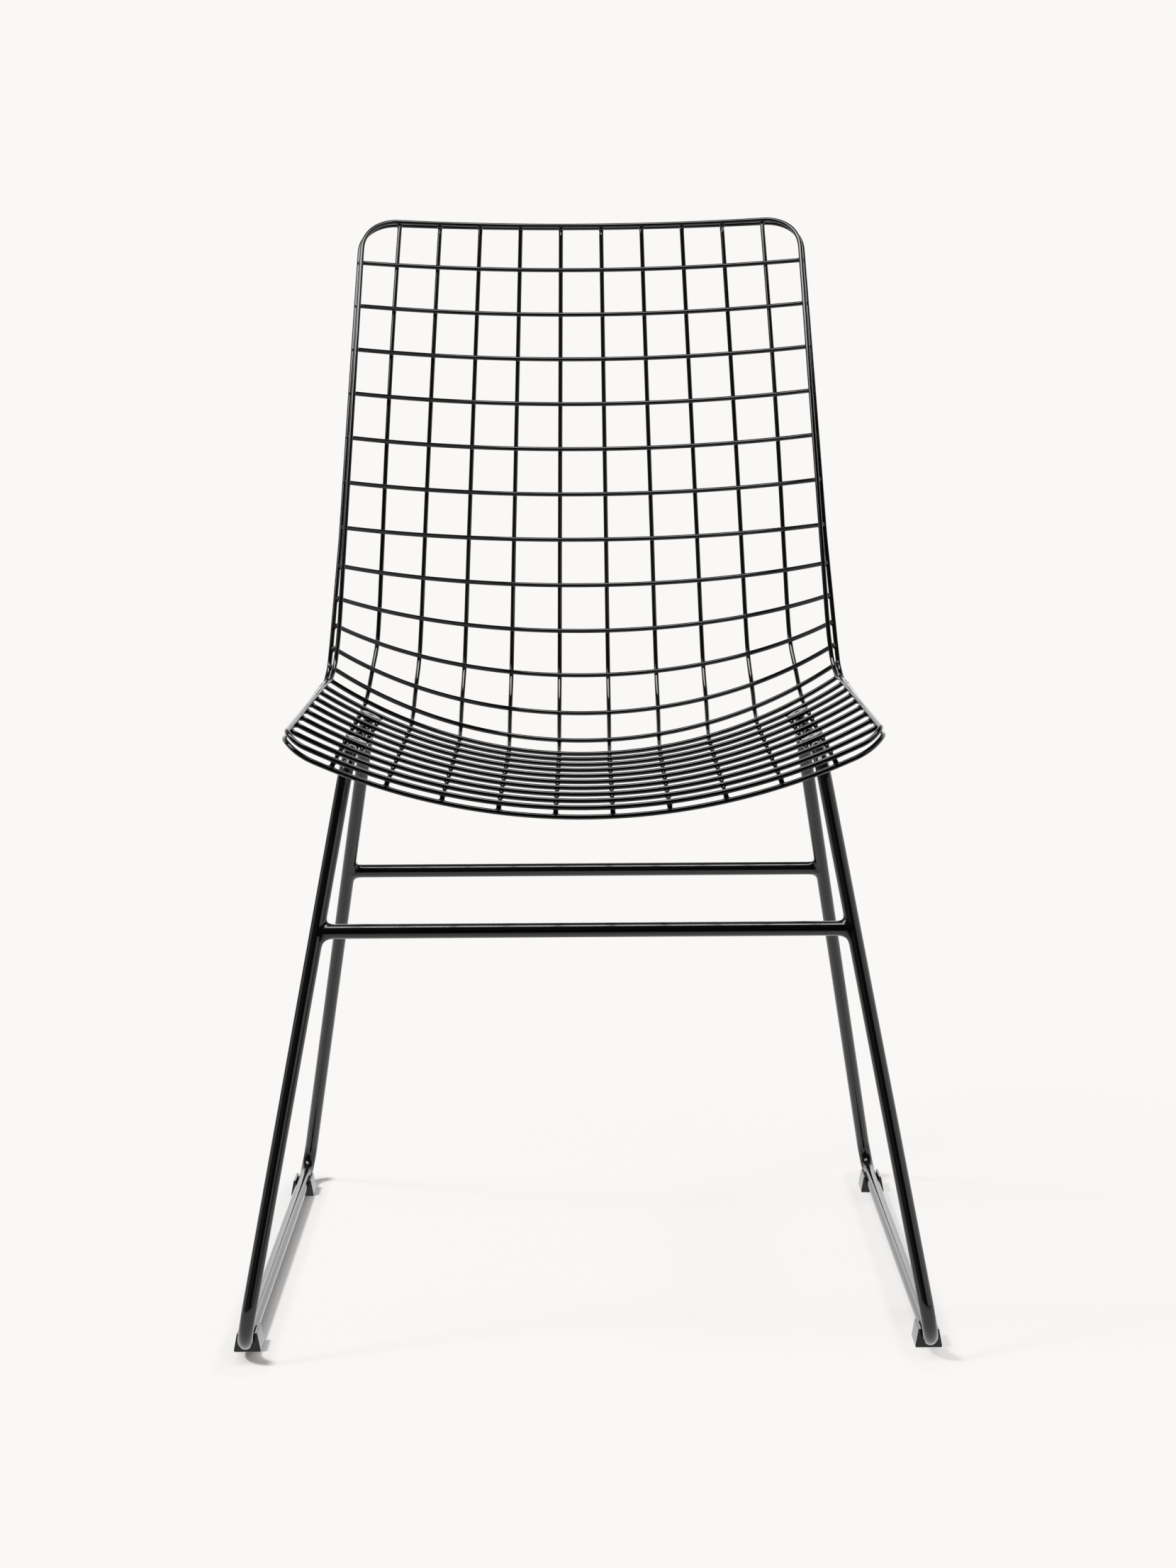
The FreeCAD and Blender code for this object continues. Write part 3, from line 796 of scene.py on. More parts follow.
def placing_tree():
    """One shape at every point, turned by the point's two directions."""
    tree = bpy.data.node_groups.new("shape_at_each_point", "GeometryNodeTree")
    add_sockets(tree, (("Places", "Geometry", None), ("Shape", "Object", None),
                       ("Least Size", "Float", 1.0), ("Most Size", "Float", 1.0),
                       ("Seed", "Int", 7), ("Finish", "Material", None)))
    add_sockets(tree, (("Shapes", "Geometry", None),), "OUTPUT")
    given = add_node(tree, "NodeGroupInput").outputs
    facing, along = [add_node(tree, "GeometryNodeInputNamedAttribute", {"Name": name},
                              data_type="FLOAT_VECTOR").outputs["Attribute"]
                     for name in ("facing", "along")]
    reach = add_node(tree, "GeometryNodeInputNamedAttribute", {"Name": "reach"},
                     data_type="FLOAT").outputs["Attribute"]
    turned = add_node(tree, "FunctionNodeAxesToRotation", {0: facing, 1: along},
                      primary_axis="Z", secondary_axis="X")
    sizes = []
    for step in (0, 1):
        seed = maths(tree, "ADD", given["Seed"], float(step))
        chance = add_node(tree, "FunctionNodeRandomValue", {
            2: given["Least Size"], 3: given["Most Size"], "Seed": seed}, data_type="FLOAT")
        sizes.append(maths(tree, "MULTIPLY", chance.outputs[1], reach))
    size = add_node(tree, "ShaderNodeCombineXYZ", {0: sizes[0], 1: sizes[1], 2: 1.0})
    shape = add_node(tree, "GeometryNodeObjectInfo", {"Object": given["Shape"]})
    put = add_node(tree, "GeometryNodeInstanceOnPoints", {
        "Points": given["Places"], "Instance": shape.outputs["Geometry"],
        "Rotation": turned.outputs[0], "Scale": size.outputs[0]})
    real = add_node(tree, "GeometryNodeRealizeInstances", {"Geometry": put.outputs[0]})
    done = add_node(tree, "GeometryNodeSetMaterial", {
        "Geometry": real.outputs[0], "Material": given["Finish"]})
    add_node(tree, "NodeGroupOutput", {"Shapes": done.outputs[0]})
    return tree


place_tree = placing_tree()
print("placing tree inputs:",
      [i.name for i in place_tree.interface.items_tree if i.in_out == "INPUT"])

# %% [markdown]
# ## Points and shapes
#
# Two helpers serve that tree. One makes the cloud of points with their attributes. The other
# makes a shape from its points and faces. Smooth shading hides the facets, and only edges
# that are sharper than a given angle stay sharp.

# %% Helpers for points and shapes


def places_object(name, places):
    """Points that carry a facing, an along direction and a size."""
    mesh = bpy.data.meshes.new(name)
    mesh.from_pydata([tuple(place[0]) for place in places], [], [])
    for key, column in (("facing", 1), ("along", 2)):
        values = [v for place in places for v in place[column]]
        mesh.attributes.new(key, "FLOAT_VECTOR", "POINT").data.foreach_set("vector", values)
    mesh.attributes.new("reach", "FLOAT", "POINT").data.foreach_set(
        "value", [place[3] for place in places])
    return put_in_scene(name, mesh)


def shape_object(name, points, faces, sharp_angle=None):
    """A shape made from its points and faces, smooth but for its sharp edges."""
    mesh = bpy.data.meshes.new(name)
    mesh.from_pydata([tuple(point) for point in points], [], faces)
    mesh.shade_smooth()
    if sharp_angle:
        mesh.set_sharp_from_angle(angle=sharp_angle)
    return put_in_scene(name, mesh)


# %% [markdown]
# ## The weld fillets
#
# Seen close, the corner between two crossing wires is filled by a small saddle of metal and
# pooled powder. Its upper edge hugs the upper wire, its lower edge the lower wire, and a
# curve joins them. Twelve such curves round the crossing make the fillet, a shape of a few
# dozen faces, because it is repeated so often.

# %% Make one weld fillet
FILLET_ALONG = 2.65 * MM
FILLET_WRAP = 1.6 * MM
FILLET_CORNER = 1.78 * MM
FILLET_BITE = 0.1 * MM
FILLET_CURVES, FILLET_STEPS = 12, 3


def hollow_point(first, corner, last, t):
    """A point of the hollow curve between two points, drawn in towards a corner."""
    return first * (1 - t) ** 2 + corner * (2 * t * (1 - t)) + last * t ** 2


def fillet_curve(angle):
    """Points from the upper wire down to the lower wire, at one angle round the weld."""
    c, s = math.cos(angle), math.sin(angle)
    inner = WIRE_R - FILLET_BITE
    upper = Vector((FILLET_ALONG * c, FILLET_WRAP * s,
                    LAYER / 2 - math.sqrt(inner ** 2 - (FILLET_WRAP * s) ** 2)))
    lower = Vector((FILLET_WRAP * c, FILLET_ALONG * s,
                    math.sqrt(inner ** 2 - (FILLET_WRAP * c) ** 2) - LAYER / 2))
    corner = Vector((FILLET_CORNER * c, FILLET_CORNER * s, (upper.z + lower.z) / 2))
    return [hollow_point(upper, corner, lower, step / FILLET_STEPS)
            for step in range(FILLET_STEPS + 1)]


def ring_faces(rings, count, closed=False):
    """Quads between rings of points that are numbered one ring after another."""
    faces = []
    for ring in range(rings if closed else rings - 1):
        for k in range(count):
            a, b = ring * count + k, ring * count + (k + 1) % count
            c, d = [((ring + 1) % rings) * count + j % count for j in (k + 1, k)]
            faces.append((a, b, c, d))
    return faces


def capped_faces(points, count, first_z, last_z):
    """Faces over rings of points, each end closed by a fan to a point on the axis."""
    faces = ring_faces(len(points) // count, count)
    last_ring = len(points) - count
    points += [Vector((0.0, 0.0, first_z)), Vector((0.0, 0.0, last_z))]
    for k in range(count):
        following = (k + 1) % count
        faces.append((len(points) - 2, following, k))
        faces.append((last_ring + k, last_ring + following, len(points) - 1))
    return faces


curves = [fillet_curve(math.tau * k / FILLET_CURVES) for k in range(FILLET_CURVES)]
points = [curve[step] for step in reversed(range(FILLET_STEPS + 1)) for curve in curves]
faces = capped_faces(points, FILLET_CURVES, -LAYER / 4, LAYER / 4)
fillet = shape_object("weld_fillet", points, faces)
print("a weld fillet has", len(faces), "faces")

# %% [markdown]
# ## All the welds
#
# The rule gives every crossing: long wires under rows, row ends between the rims, long wire
# ends between the rims at the top and front edges, and the mounting wires under their rows.
# The welds at the rims sit a little inwards, because the metal pools on the side where the
# wire comes in, not round its cut end.

# %% Weld every crossing
MESH_WELD, RIM_WELD, EDGE_WELD = 0.95, 1.08, 1.15
WELD_LEAST, WELD_MOST, WELD_SEED = 0.9, 1.12, 7
WELD_INWARDS = 0.9 * MM
weld_places = []


def weld(index, lane, level, to_cross_wire, reach, next_index=None, to_middle=0.0):
    """A weld on a row, at a level counted in layers, drawn towards the next row or the middle."""
    row = rows[index]
    x = lane(row)
    normal = up_normal(index, lane)
    spot = row.at(x) + normal * (LAYER * level)
    if next_index is not None:
        inner = rows[next_index]
        spot += (inner.at(lane(inner)) - row.at(x)).normalized() * WELD_INWARDS
    spot += row.heading(x) * (to_middle * WELD_INWARDS)
    weld_places.append((spot, normal * to_cross_wire, row.heading(x), reach))


for lane in [long_lane(number) for number in range(1, LONG_WIRES + 1)]:
    for index in range(1, ROWS):
        weld(index, lane, -0.5, 1, MESH_WELD)
    for index, inner in ((0, 1), (ROWS, ROWS - 1)):
        weld(index, lane, -0.5, 1, EDGE_WELD, next_index=inner)
        weld(index, lane, -1.5, -1, EDGE_WELD, next_index=inner)
for name, side in SIDES:
    for index in range(1, ROWS):
        weld(index, rim_lane(side, FRONT_RIM_STEPS), 0.5, -1, RIM_WELD, to_middle=-side)
        weld(index, rim_lane(side, BACK_RIM_STEPS), -0.5, 1, RIM_WELD, to_middle=-side)
    for index in range(MOUNT_FIRST_ROW, MOUNT_LAST_ROW + 1):
        weld(index, mount_lane(side, 1.0), -0.5, 1, MESH_WELD)

welds = places_object("mesh_welds", weld_places)
grow(welds, place_tree, {"Shape": fillet, "Least Size": WELD_LEAST, "Most Size": WELD_MOST,
                         "Seed": WELD_SEED, "Finish": wire_coat})
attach(welds, "root")
bpy.data.objects.remove(fillet)
print("welds:", len(weld_places), "faces:", len(welds.data.polygons))

# %% [markdown]
# ## The side frames
#
# One rod makes each side: a floor rail, a front leg, a mounting bar under the seat and a rear
# leg, bent round into a closed trapezoid that leans inwards. The bar's line comes from the
# shell's rule, so the frame touches the rows whatever their sizes are.

# %% Bend the side frames
FLOOR_TRACK = 508.0 * MM
FOOT_LENGTH = 563.7 * MM
BAR_FRONT_Y = 60.0 * MM
BAR_LENGTH = 217.0 * MM
RAIL_Z = 10.0 * MM
FRAME_BENDS = (30.0 * MM, 18.0 * MM, 28.0 * MM, 28.0 * MM)


def between_rows(points, index):
    """The place midway between a row and the next one."""
    return points[index].lerp(points[index + 1], 0.5)


def frame_corners(side):
    """Front foot, rear foot, rear top and front top of a side frame."""
    contact = lane_points(mount_lane(side, 0.5), -(WIRE_R + ROD_R))
    rear = between_rows(contact, MOUNT_FIRST_ROW)
    front = between_rows(contact, MOUNT_LAST_ROW - 1)
    rear.x = front.x
    slope = (rear - front) / (rear.y - front.y)
    bar_front = front + slope * (BAR_FRONT_Y + y_shift - front.y)
    foot_front = Vector((side * FLOOR_TRACK / 2, FOOT_FRONT_Y + y_shift, RAIL_Z))
    return [foot_front, foot_front + Vector((0.0, FOOT_LENGTH, 0.0)),
            bar_front + slope * BAR_LENGTH, bar_front]


def rounded_loop(corners, radii):
    """A closed path of straight runs, each corner rounded to its radius."""
    bends = []
    for i, here in enumerate(corners):
        back = (corners[i - 1] - here).normalized()
        ahead = (corners[(i + 1) % len(corners)] - here).normalized()
        cut = radii[i] / math.tan(back.angle(ahead) / 2)
        bends.append(Bend(here + back * cut, -back, here + ahead * cut))
    path = []
    for bend, following in zip(bends, bends[1:] + bends[:1]):
        path += [bend, Bend(bend.end, (following.start - bend.end).normalized(),
                            following.start)]
    return path


corners_of = {}
for name, side in SIDES:
    corners_of[side] = frame_corners(side)
    path = rounded_loop(corners_of[side], FRAME_BENDS)
    bar(name + "_side_frame", trace(path)[:-1], ROD_STOCK, closed=True)
    print(name, "side frame box gap %.3f mm" % (box_gaps[name + "_side_frame"] / MM))

# %% [markdown]
# ## The stretchers and their welds
#
# A straight rod joins the two front legs and another the two rear ones. Each end is cut to
# the shape of the leg and welded all round, and the weld is ground and coated until it is one
# smooth hollow curve from rod to rod. The curve is made rather than cut: for each angle round
# the stretcher, the point where its skin meets the leg's skin is solved, then an arc leaves
# the stretcher a little before that corner and lands on the leg a little beyond it.

# %% Shape a hollow weld
HOLLOW_ABOVE, HOLLOW_BELOW, HOLLOW_LEAST = 5.0 * MM, 6.5 * MM, 1.2 * MM
HOLLOW_FULLNESS = 0.8
HOLLOW_PROUD, HOLLOW_SUNK = 0.08 * MM, 0.5 * MM
RIPPLE_DEPTH, RIPPLE_SCALE = 0.25 * MM, 260
HOLLOW_SHARP = math.radians(50)
AROUND, ARC_STEPS = 48, 8


def hollow_weld(name, end, heading, leg):
    """The hollow weld where a stretcher leaves a leg."""
    across = heading.cross(leg).normalized()
    up = across.cross(heading)
    flat = heading - leg * heading.dot(leg)
    columns = []
    for k in range(AROUND):
        angle = math.tau * k / AROUND
        out = up * math.cos(angle) + across * math.sin(angle)
        start = out * ROD_R
        aside = start - leg * start.dot(leg)
        b, c = flat.dot(aside), aside.length_squared - ROD_R ** 2
        reach = (math.sqrt(max(0.0, b * b - flat.length_squared * c)) - b) / flat.length_squared
        corner = start + heading * reach
        way, size = (1, HOLLOW_ABOVE) if math.cos(angle) > 0 else (-1, HOLLOW_BELOW)
        lean = abs(math.cos(angle)) ** HOLLOW_FULLNESS
        on_rod = corner + heading * (HOLLOW_LEAST + size * lean)
        on_leg = corner + leg * (size * lean * way)
        column = []
        for step in range(ARC_STEPS + 1):
            t = step / ARC_STEPS
            spot = hollow_point(on_rod, corner, on_leg, t)
            from_leg = (spot - leg * spot.dot(leg)).normalized()
            spot += out.lerp(from_leg, t).normalized() * HOLLOW_PROUD
            column.append(spot + out * (RIPPLE_DEPTH * math.sin(math.pi * t)
                                        * noise.noise((end + spot) * RIPPLE_SCALE)))
        column.insert(0, column[0] - out * HOLLOW_SUNK)
        inside = (on_leg - leg * on_leg.dot(leg)).normalized()
        column.append(on_leg - inside * HOLLOW_SUNK)
        column.append(corner - (out + inside).normalized() * (HOLLOW_SUNK * 2))
        columns.append([end + spot for spot in column])
    rings = len(columns[0])
    points = [column[ring] for ring in range(rings) for column in columns]
    piece = shape_object(name, points, ring_faces(rings, AROUND, closed=True), HOLLOW_SHARP)
    piece.data.materials.append(rod_coat)
    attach(piece, "root")


print("a hollow weld is", AROUND, "curves of", ARC_STEPS + 1, "points")

# %% [markdown]
# ## The two rods between the legs
#
# A leg is straight between two corners of its side frame, so the end of a rod is found by
# going up that line to the rod's height. The rod's path is a `Bend` that doesn't turn, and
# each of its ends gets a weld.

# %% Join the legs
STRETCHER_HEIGHTS = {"front": 312.0 * MM, "rear": 308.5 * MM}
LEG_ENDS = {"front": (0, 3), "rear": (1, 2)}

for name, (foot, top) in LEG_ENDS.items():
    legs = [(corners_of[side][foot], corners_of[side][top]) for side in (-1, 1)]
    ends = [low.lerp(high, (STRETCHER_HEIGHTS[name] - low.z) / (high.z - low.z))
            for low, high in legs]
    span = Bend(ends[0], (ends[1] - ends[0]).normalized(), ends[1])
    bar(name + "_stretcher", trace([span]), ROD_STOCK)
    for (side_name, side), end, (low, high) in zip(SIDES, ends, legs):
        hollow_weld("%s_%s_stretcher_weld" % (name, side_name), end, span.heading * -side,
                    (high - low).normalized())
    print(name, "stretcher %.0f mm between the legs' axes" % (span.length / MM))

# %% [markdown]
# ## The clamp screws
#
# Four screws with wide flat heads hold the shell down on the frames. A head is turned on a
# lathe, so it is made from rings round an axis, with a slightly crowned top and an eased rim.
# The socket is a hexagon: the same rings, with the radius of a hexagon's outline instead of a
# circle's.

# %% Turn one screw
HEAD_R, HEAD_HEIGHT = 8.75 * MM, 2.4 * MM
HEAD_CHAMFER, HEAD_EASE, HEAD_EASE_STEPS = 0.25 * MM, 0.5 * MM, 4
CROWN_RISE = 0.2 * MM
CROWN_MIDWAY_R, CROWN_MIDWAY_FALL = 5.5 * MM, 0.07 * MM
SHANK_R, SHANK_LENGTH, SHANK_CHAMFER = 2.5 * MM, 8.5 * MM, 0.4 * MM
SOCKET_FLAT, SOCKET_DEPTH = 2.0 * MM, 1.4 * MM
SOCKET_MOUTH_R, SOCKET_MOUTH_DEPTH = 2.8 * MM, 0.25 * MM
SCREW_SIDES, SCREW_SHARP = 48, math.radians(35)


def hexagon(angle):
    """The radius of a hexagon's outline, for a flat at distance one."""
    return 1.0 / math.cos((angle % (math.pi / 3)) - math.pi / 6)


def circle(angle):
    """The radius of a circle's outline."""
    return 1.0


profile = [(SHANK_R - SHANK_CHAMFER, -SHANK_LENGTH, circle),
           (SHANK_R, SHANK_CHAMFER - SHANK_LENGTH, circle), (SHANK_R, 0.0, circle),
           (HEAD_R - HEAD_CHAMFER, 0.0, circle), (HEAD_R, HEAD_CHAMFER, circle)]
for step in range(HEAD_EASE_STEPS + 1):
    ease = math.pi / 2 * step / HEAD_EASE_STEPS
    profile.append((HEAD_R - HEAD_EASE * (1 - math.cos(ease)),
                    HEAD_HEIGHT - CROWN_RISE - HEAD_EASE * (1 - math.sin(ease)), circle))
profile += [(CROWN_MIDWAY_R, HEAD_HEIGHT - CROWN_MIDWAY_FALL, circle),
            (SOCKET_MOUTH_R, HEAD_HEIGHT, circle),
            (SOCKET_FLAT, HEAD_HEIGHT - SOCKET_MOUTH_DEPTH, hexagon),
            (SOCKET_FLAT, HEAD_HEIGHT - SOCKET_DEPTH, hexagon)]
points = []
for radius, level, outline in profile:
    for angle in [math.tau * k / SCREW_SIDES for k in range(SCREW_SIDES)]:
        reach = radius * outline(angle)
        points.append(Vector((reach * math.cos(angle), reach * math.sin(angle), level)))
faces = capped_faces(points, SCREW_SIDES, profile[0][1], profile[-1][1])
screw = shape_object("one_clamp_screw", points, faces, SCREW_SHARP)
print("a clamp screw has", len(faces), "faces")

# %% [markdown]
# ## Four screws in their places
#
# On each side one screw sits between the first two rows over the mounting wire and one
# between the last two, midway between that wire and the long wire beside it, and squarely on
# the shell. The solids hold the four as one group, so they stay one mesh here as well.

# %% Place four screws
SCREW_SEED = 1

screw_places = []
for name, side in SIDES:
    lane = mount_lane(side, 0.5)
    for index in (MOUNT_FIRST_ROW, MOUNT_LAST_ROW - 1):
        seat = between_rows(lane_points(lane, WIRE_R - LAYER), index)
        screw_places.append((seat, up_normal(index, lane), Vector((1.0, 0.0, 0.0)), 1.0))
screws = places_object("coated_clamp_screws", screw_places)
grow(screws, place_tree, {"Shape": screw, "Least Size": 1.0, "Most Size": 1.0,
                          "Seed": SCREW_SEED, "Finish": screw_coat})
bpy.data.objects.remove(screw)
stand_for(screws, "clamp_screws")
print("clamp screws:", len(screw_places), "box gap %.3f mm" % (box_gaps["clamp_screws"] / MM))

# %% [markdown]
# ## The glides
#
# Each floor rail stands on two plastic saddles that clip over the rod. A glide is moulded, so
# it has one outline all the way along, rounded long edges, and a fine radius round its two
# end faces, which is what catches the light as a thin bright line. The outline is drawn as
# points, pushed out to its length, and a Bevel modifier rounds the ends.

# %% Mould the glides
GLIDE_LENGTH = 28.0 * MM
GLIDE_BASE, GLIDE_TOP, GLIDE_HEIGHT = 10.25 * MM, 7.6 * MM, 14.3 * MM
GLIDE_CORNER, GLIDE_INNER_CORNER = 1.2 * MM, 0.3 * MM
GLIDE_END_RADIUS, GLIDE_END_STEPS, GLIDE_END_ANGLE = 0.4 * MM, 3, math.radians(60)
GLIDE_FROM_REAR = 50.0 * MM
SLOT_R = ROD_R + 0.1 * MM
CORNER_STEPS, SLOT_STEPS = 6, 28


def rounded_corner(before, here, after, radius):
    """Points round a corner of an outline."""
    back, ahead = (before - here).normalized(), (after - here).normalized()
    cut = radius / math.tan(back.angle(ahead) / 2)
    arc = Bend(here + back * cut, -back, here + ahead * cut)
    return [arc.at(arc.turn * k / CORNER_STEPS) for k in range(CORNER_STEPS + 1)]


def glide_outline():
    """The saddle's outline, seen along the rail."""
    middle, base, top, lip, wall = [Vector((x, 0.0, z)) for x, z in (
        (0.0, 0.0), (GLIDE_BASE, 0.0), (GLIDE_TOP, GLIDE_HEIGHT), (SLOT_R, GLIDE_HEIGHT),
        (SLOT_R, RAIL_Z))]
    half = (rounded_corner(middle, base, top, GLIDE_CORNER)
            + rounded_corner(base, top, lip, GLIDE_CORNER)
            + rounded_corner(top, lip, wall, GLIDE_INNER_CORNER))
    slot = [Vector((SLOT_R * math.cos(a), 0.0, RAIL_Z - SLOT_R * math.sin(a)))
            for a in (math.pi * k / SLOT_STEPS for k in range(SLOT_STEPS + 1))]
    mirrored = [Vector((-p.x, 0.0, p.z)) for p in reversed(half)]
    return half + slot + mirrored


def glide(node, centre):
    """One glide, moulded round a point of the floor under the rail."""
    outline = glide_outline()
    count = len(outline)
    points = [centre + p + Vector((0.0, end * GLIDE_LENGTH / 2, 0.0))
              for end in (-1, 1) for p in outline]
    faces = [tuple(range(count)), tuple(reversed(range(count, 2 * count)))]
    faces += [(k, k + count, (k + 1) % count + count, (k + 1) % count) for k in range(count)]
    piece = shape_object("moulded_" + node, points, faces)
    piece.data.materials.append(glide_plastic)
    eased = piece.modifiers.new("ease_ends", "BEVEL")
    eased.width = GLIDE_END_RADIUS
    eased.segments = GLIDE_END_STEPS
    eased.limit_method = "ANGLE"
    eased.angle_limit = GLIDE_END_ANGLE
    eased.harden_normals = True
    keep_result(piece)
    stand_for(piece, node)


for end_name, centre_y in (("front", FOOT_FRONT_Y + GLIDE_FROM_FRONT),
                           ("rear", FOOT_FRONT_Y + FOOT_LENGTH - GLIDE_FROM_REAR)):
    for name, side in SIDES:
        node = "%s_%s_glide" % (end_name, name)
        glide(node, Vector((side * FLOOR_TRACK / 2, centre_y + y_shift, 0.0)))
        print(node, "box gap %.3f mm" % (box_gaps[node] / MM))

# %% [markdown]
# ## The studio
#
# Black gloss has hardly a colour of its own. What the eye reads as its shape is the room in
# it. A bright backdrop behind the chair draws light edges on every rod. Higher up it is wider
# and brighter, and that whitens the floor rails. The pale floor fills the undersides. A white
# board on the right lays a grey band down each leg, a smaller one on the left another, and
# there is a faint one left of the camera. They fade upwards. So the world here is a room,
# drawn by direction: bright behind, pale at the sides, nearly dark in front. Directions go
# round from the front, 0 degrees, over the right, 90, to straight behind, 180, and heights
# from 0 at the level to 1 overhead.

# %% Build the world
BACKGROUND = (0.956, 0.939, 0.922)
ROOM_GLOW = 0.015
BACKDROP_EDGE, BACKDROP_GLOW = 142.0, 1.45
HIGH_BACKDROP_EDGE, HIGH_BACKDROP_GLOW = 112.0, 2.45
HIGH_BACKDROP_START = (0.1, 0.2)
BACKDROP_FADE, BACKDROP_TOP_SHARE = (0.4, 0.8), 0.1
WALL_EDGE, WALL_GLOW = 26.0, 1.55
WALL_FADE = (0.25, 0.5)
PATCHES = ((-108.0, -68.0, 1.05), (-50.0, -20.0, 0.2))
PATCH_FADE = (0.2, 0.4)
EDGE_SOFTNESS = 4.0


def ramp(tree, value, start, end, low=0.0, high=1.0):
    """A smooth step from low to high while a value goes from start to end."""
    return add_node(tree, "ShaderNodeMapRange", {
        "Value": value, "From Min": start, "From Max": end, "To Min": low, "To Max": high},
        interpolation_type="SMOOTHSTEP").outputs["Result"]


world = bpy.data.worlds.new("studio_room")
world.use_nodes = True
room = world.node_tree
room.nodes.clear()
toward = add_node(room, "ShaderNodeSeparateXYZ", {
    0: add_node(room, "ShaderNodeTexCoord").outputs["Generated"]})
azimuth = maths(room, "ARCTAN2", toward.outputs["X"], maths(
    room, "MULTIPLY", toward.outputs["Y"], -1.0))
height = toward.outputs["Z"]


def edge(value, degrees, low=0.0, high=1.0):
    """A soft step across a direction of the room."""
    return ramp(room, value, math.radians(degrees - EDGE_SOFTNESS),
                math.radians(degrees + EDGE_SOFTNESS), low, high)


turned = maths(room, "ABSOLUTE", azimuth)
low_part = edge(turned, BACKDROP_EDGE, 0.0, BACKDROP_GLOW)
high_part = maths(room, "MULTIPLY", edge(turned, HIGH_BACKDROP_EDGE, 0.0, HIGH_BACKDROP_GLOW),
                  ramp(room, height, *HIGH_BACKDROP_START))
behind = maths(room, "MULTIPLY", maths(room, "MAXIMUM", low_part, high_part),
               ramp(room, height, *BACKDROP_FADE, 1.0, BACKDROP_TOP_SHARE))
walls = maths(room, "MULTIPLY", edge(azimuth, WALL_EDGE, 0.0, WALL_GLOW),
              ramp(room, height, *WALL_FADE, 1.0, 0.0))
for start, end, strength in PATCHES:
    patch = maths(room, "MULTIPLY", edge(azimuth, start), edge(azimuth, end, strength, 0.0))
    low_patch = maths(room, "MULTIPLY", patch, ramp(room, height, *PATCH_FADE, 1.0, 0.0))
    walls = maths(room, "ADD", walls, low_patch)
glow = maths(room, "ADD", ROOM_GLOW, maths(room, "MAXIMUM", behind, walls))
rays = add_node(room, "ShaderNodeLightPath")
reflected = add_node(room, "ShaderNodeBackground", {"Strength": glow})
seen = add_node(room, "ShaderNodeBackground", {"Color": BACKGROUND + (1.0,), "Strength": 1.0})
shown = add_node(room, "ShaderNodeMixShader", {
    0: rays.outputs["Is Camera Ray"], 1: reflected.outputs[0], 2: seen.outputs[0]})
add_node(room, "ShaderNodeOutputWorld", {"Surface": shown.outputs[0]})
bpy.context.scene.world = world
bpy.context.scene.view_settings.view_transform = "Standard"
print("world nodes:", len(room.nodes))

# %% [markdown]
# ## The lamps
#
# One long soft box hangs over the front of the chair and reaches further to the left than to
# the right. It puts the thin highlights on the wires. The highlight on each stretcher is its
# mirror image, and how far that lies below the rod's upper edge tells how high the box is. It
# is narrow from front to back, because the wires of the back, which lean away from it, show
# no image of it. A small box stands far to the left and lays the narrow shadow beside the
# left floor rail. The room already draws its reflection, a pale patch on the left, so rays
# from glossy surfaces don't meet it a second time.

# %% Hang the lamps
LAMPS = (("long_soft_box", (-0.7, -0.55, 2.25), (-0.7, 0.0, 0.45), (2.5, 0.7), 56.0, True),
         ("left_soft_box", (-1.6, -0.6, 2.7), (0.0, 0.0, 0.45), (0.4, 0.4), 105.0, False))


def hang(name, centre, aim, size, power, in_reflections):
    """A soft box at a place, turned to its aim, its long side level."""
    data = bpy.data.lights.new(name, "AREA")
    data.shape = "RECTANGLE"
    data.size, data.size_y = size
    data.energy = power
    lamp = put_in_scene(name, data)
    beam = Vector(aim) - Vector(centre)
    back = -beam.normalized()
    level = Vector((0.0, 0.0, 1.0)).cross(back).normalized()
    stand_at(lamp, centre, level, back.cross(level), back)
    lamp.visible_camera = False
    lamp.visible_glossy = in_reflections
    print(name, "%.1f m from its aim" % beam.length)


for lamp_values in LAMPS:
    hang(*lamp_values)

# %% [markdown]
# ## The floor
#
# The floor is a white paper sweep. The camera sees it at the backdrop's own brightness, so
# no horizon shows. Only near the chair does it turn into the real lit paper, most of all
# beside the two floor rails, whose narrow soft shadows are nearly the only ones to be seen.
# The left rail's is the clearer one. The lamps light the paper unevenly, so its white leans
# the other way to make up for that. In reflections the paper fades out in front of the
# chair, as the legs' dark lower ends show.

# %% Mix the paper
PAPER_FADE_FAR_Y, PAPER_FADE_NEAR_Y = -1.0, -0.35
PAPER_WHITE = 0.465
PAPER_WHITE_SLOPE = (0.141, 0.075, 0.0)
PAPER_WHITE_RISE = 0.081
PAPER_GLOW = 1.08
SHADOW_FADE_FROM, SHADOW_FADE_TO = 0.45, 1.1
WIDE_SHADOW = 0.1
LEFT_RAIL_SHADOW, RIGHT_RAIL_SHADOW = 0.88, 0.35
LEFT_ENDS_X, RIGHT_STARTS_X = -0.1, 0.1
RAIL_HALF_LENGTH = 0.28
RAIL_SHADOW_FROM, RAIL_SHADOW_TO = 0.016, 0.026

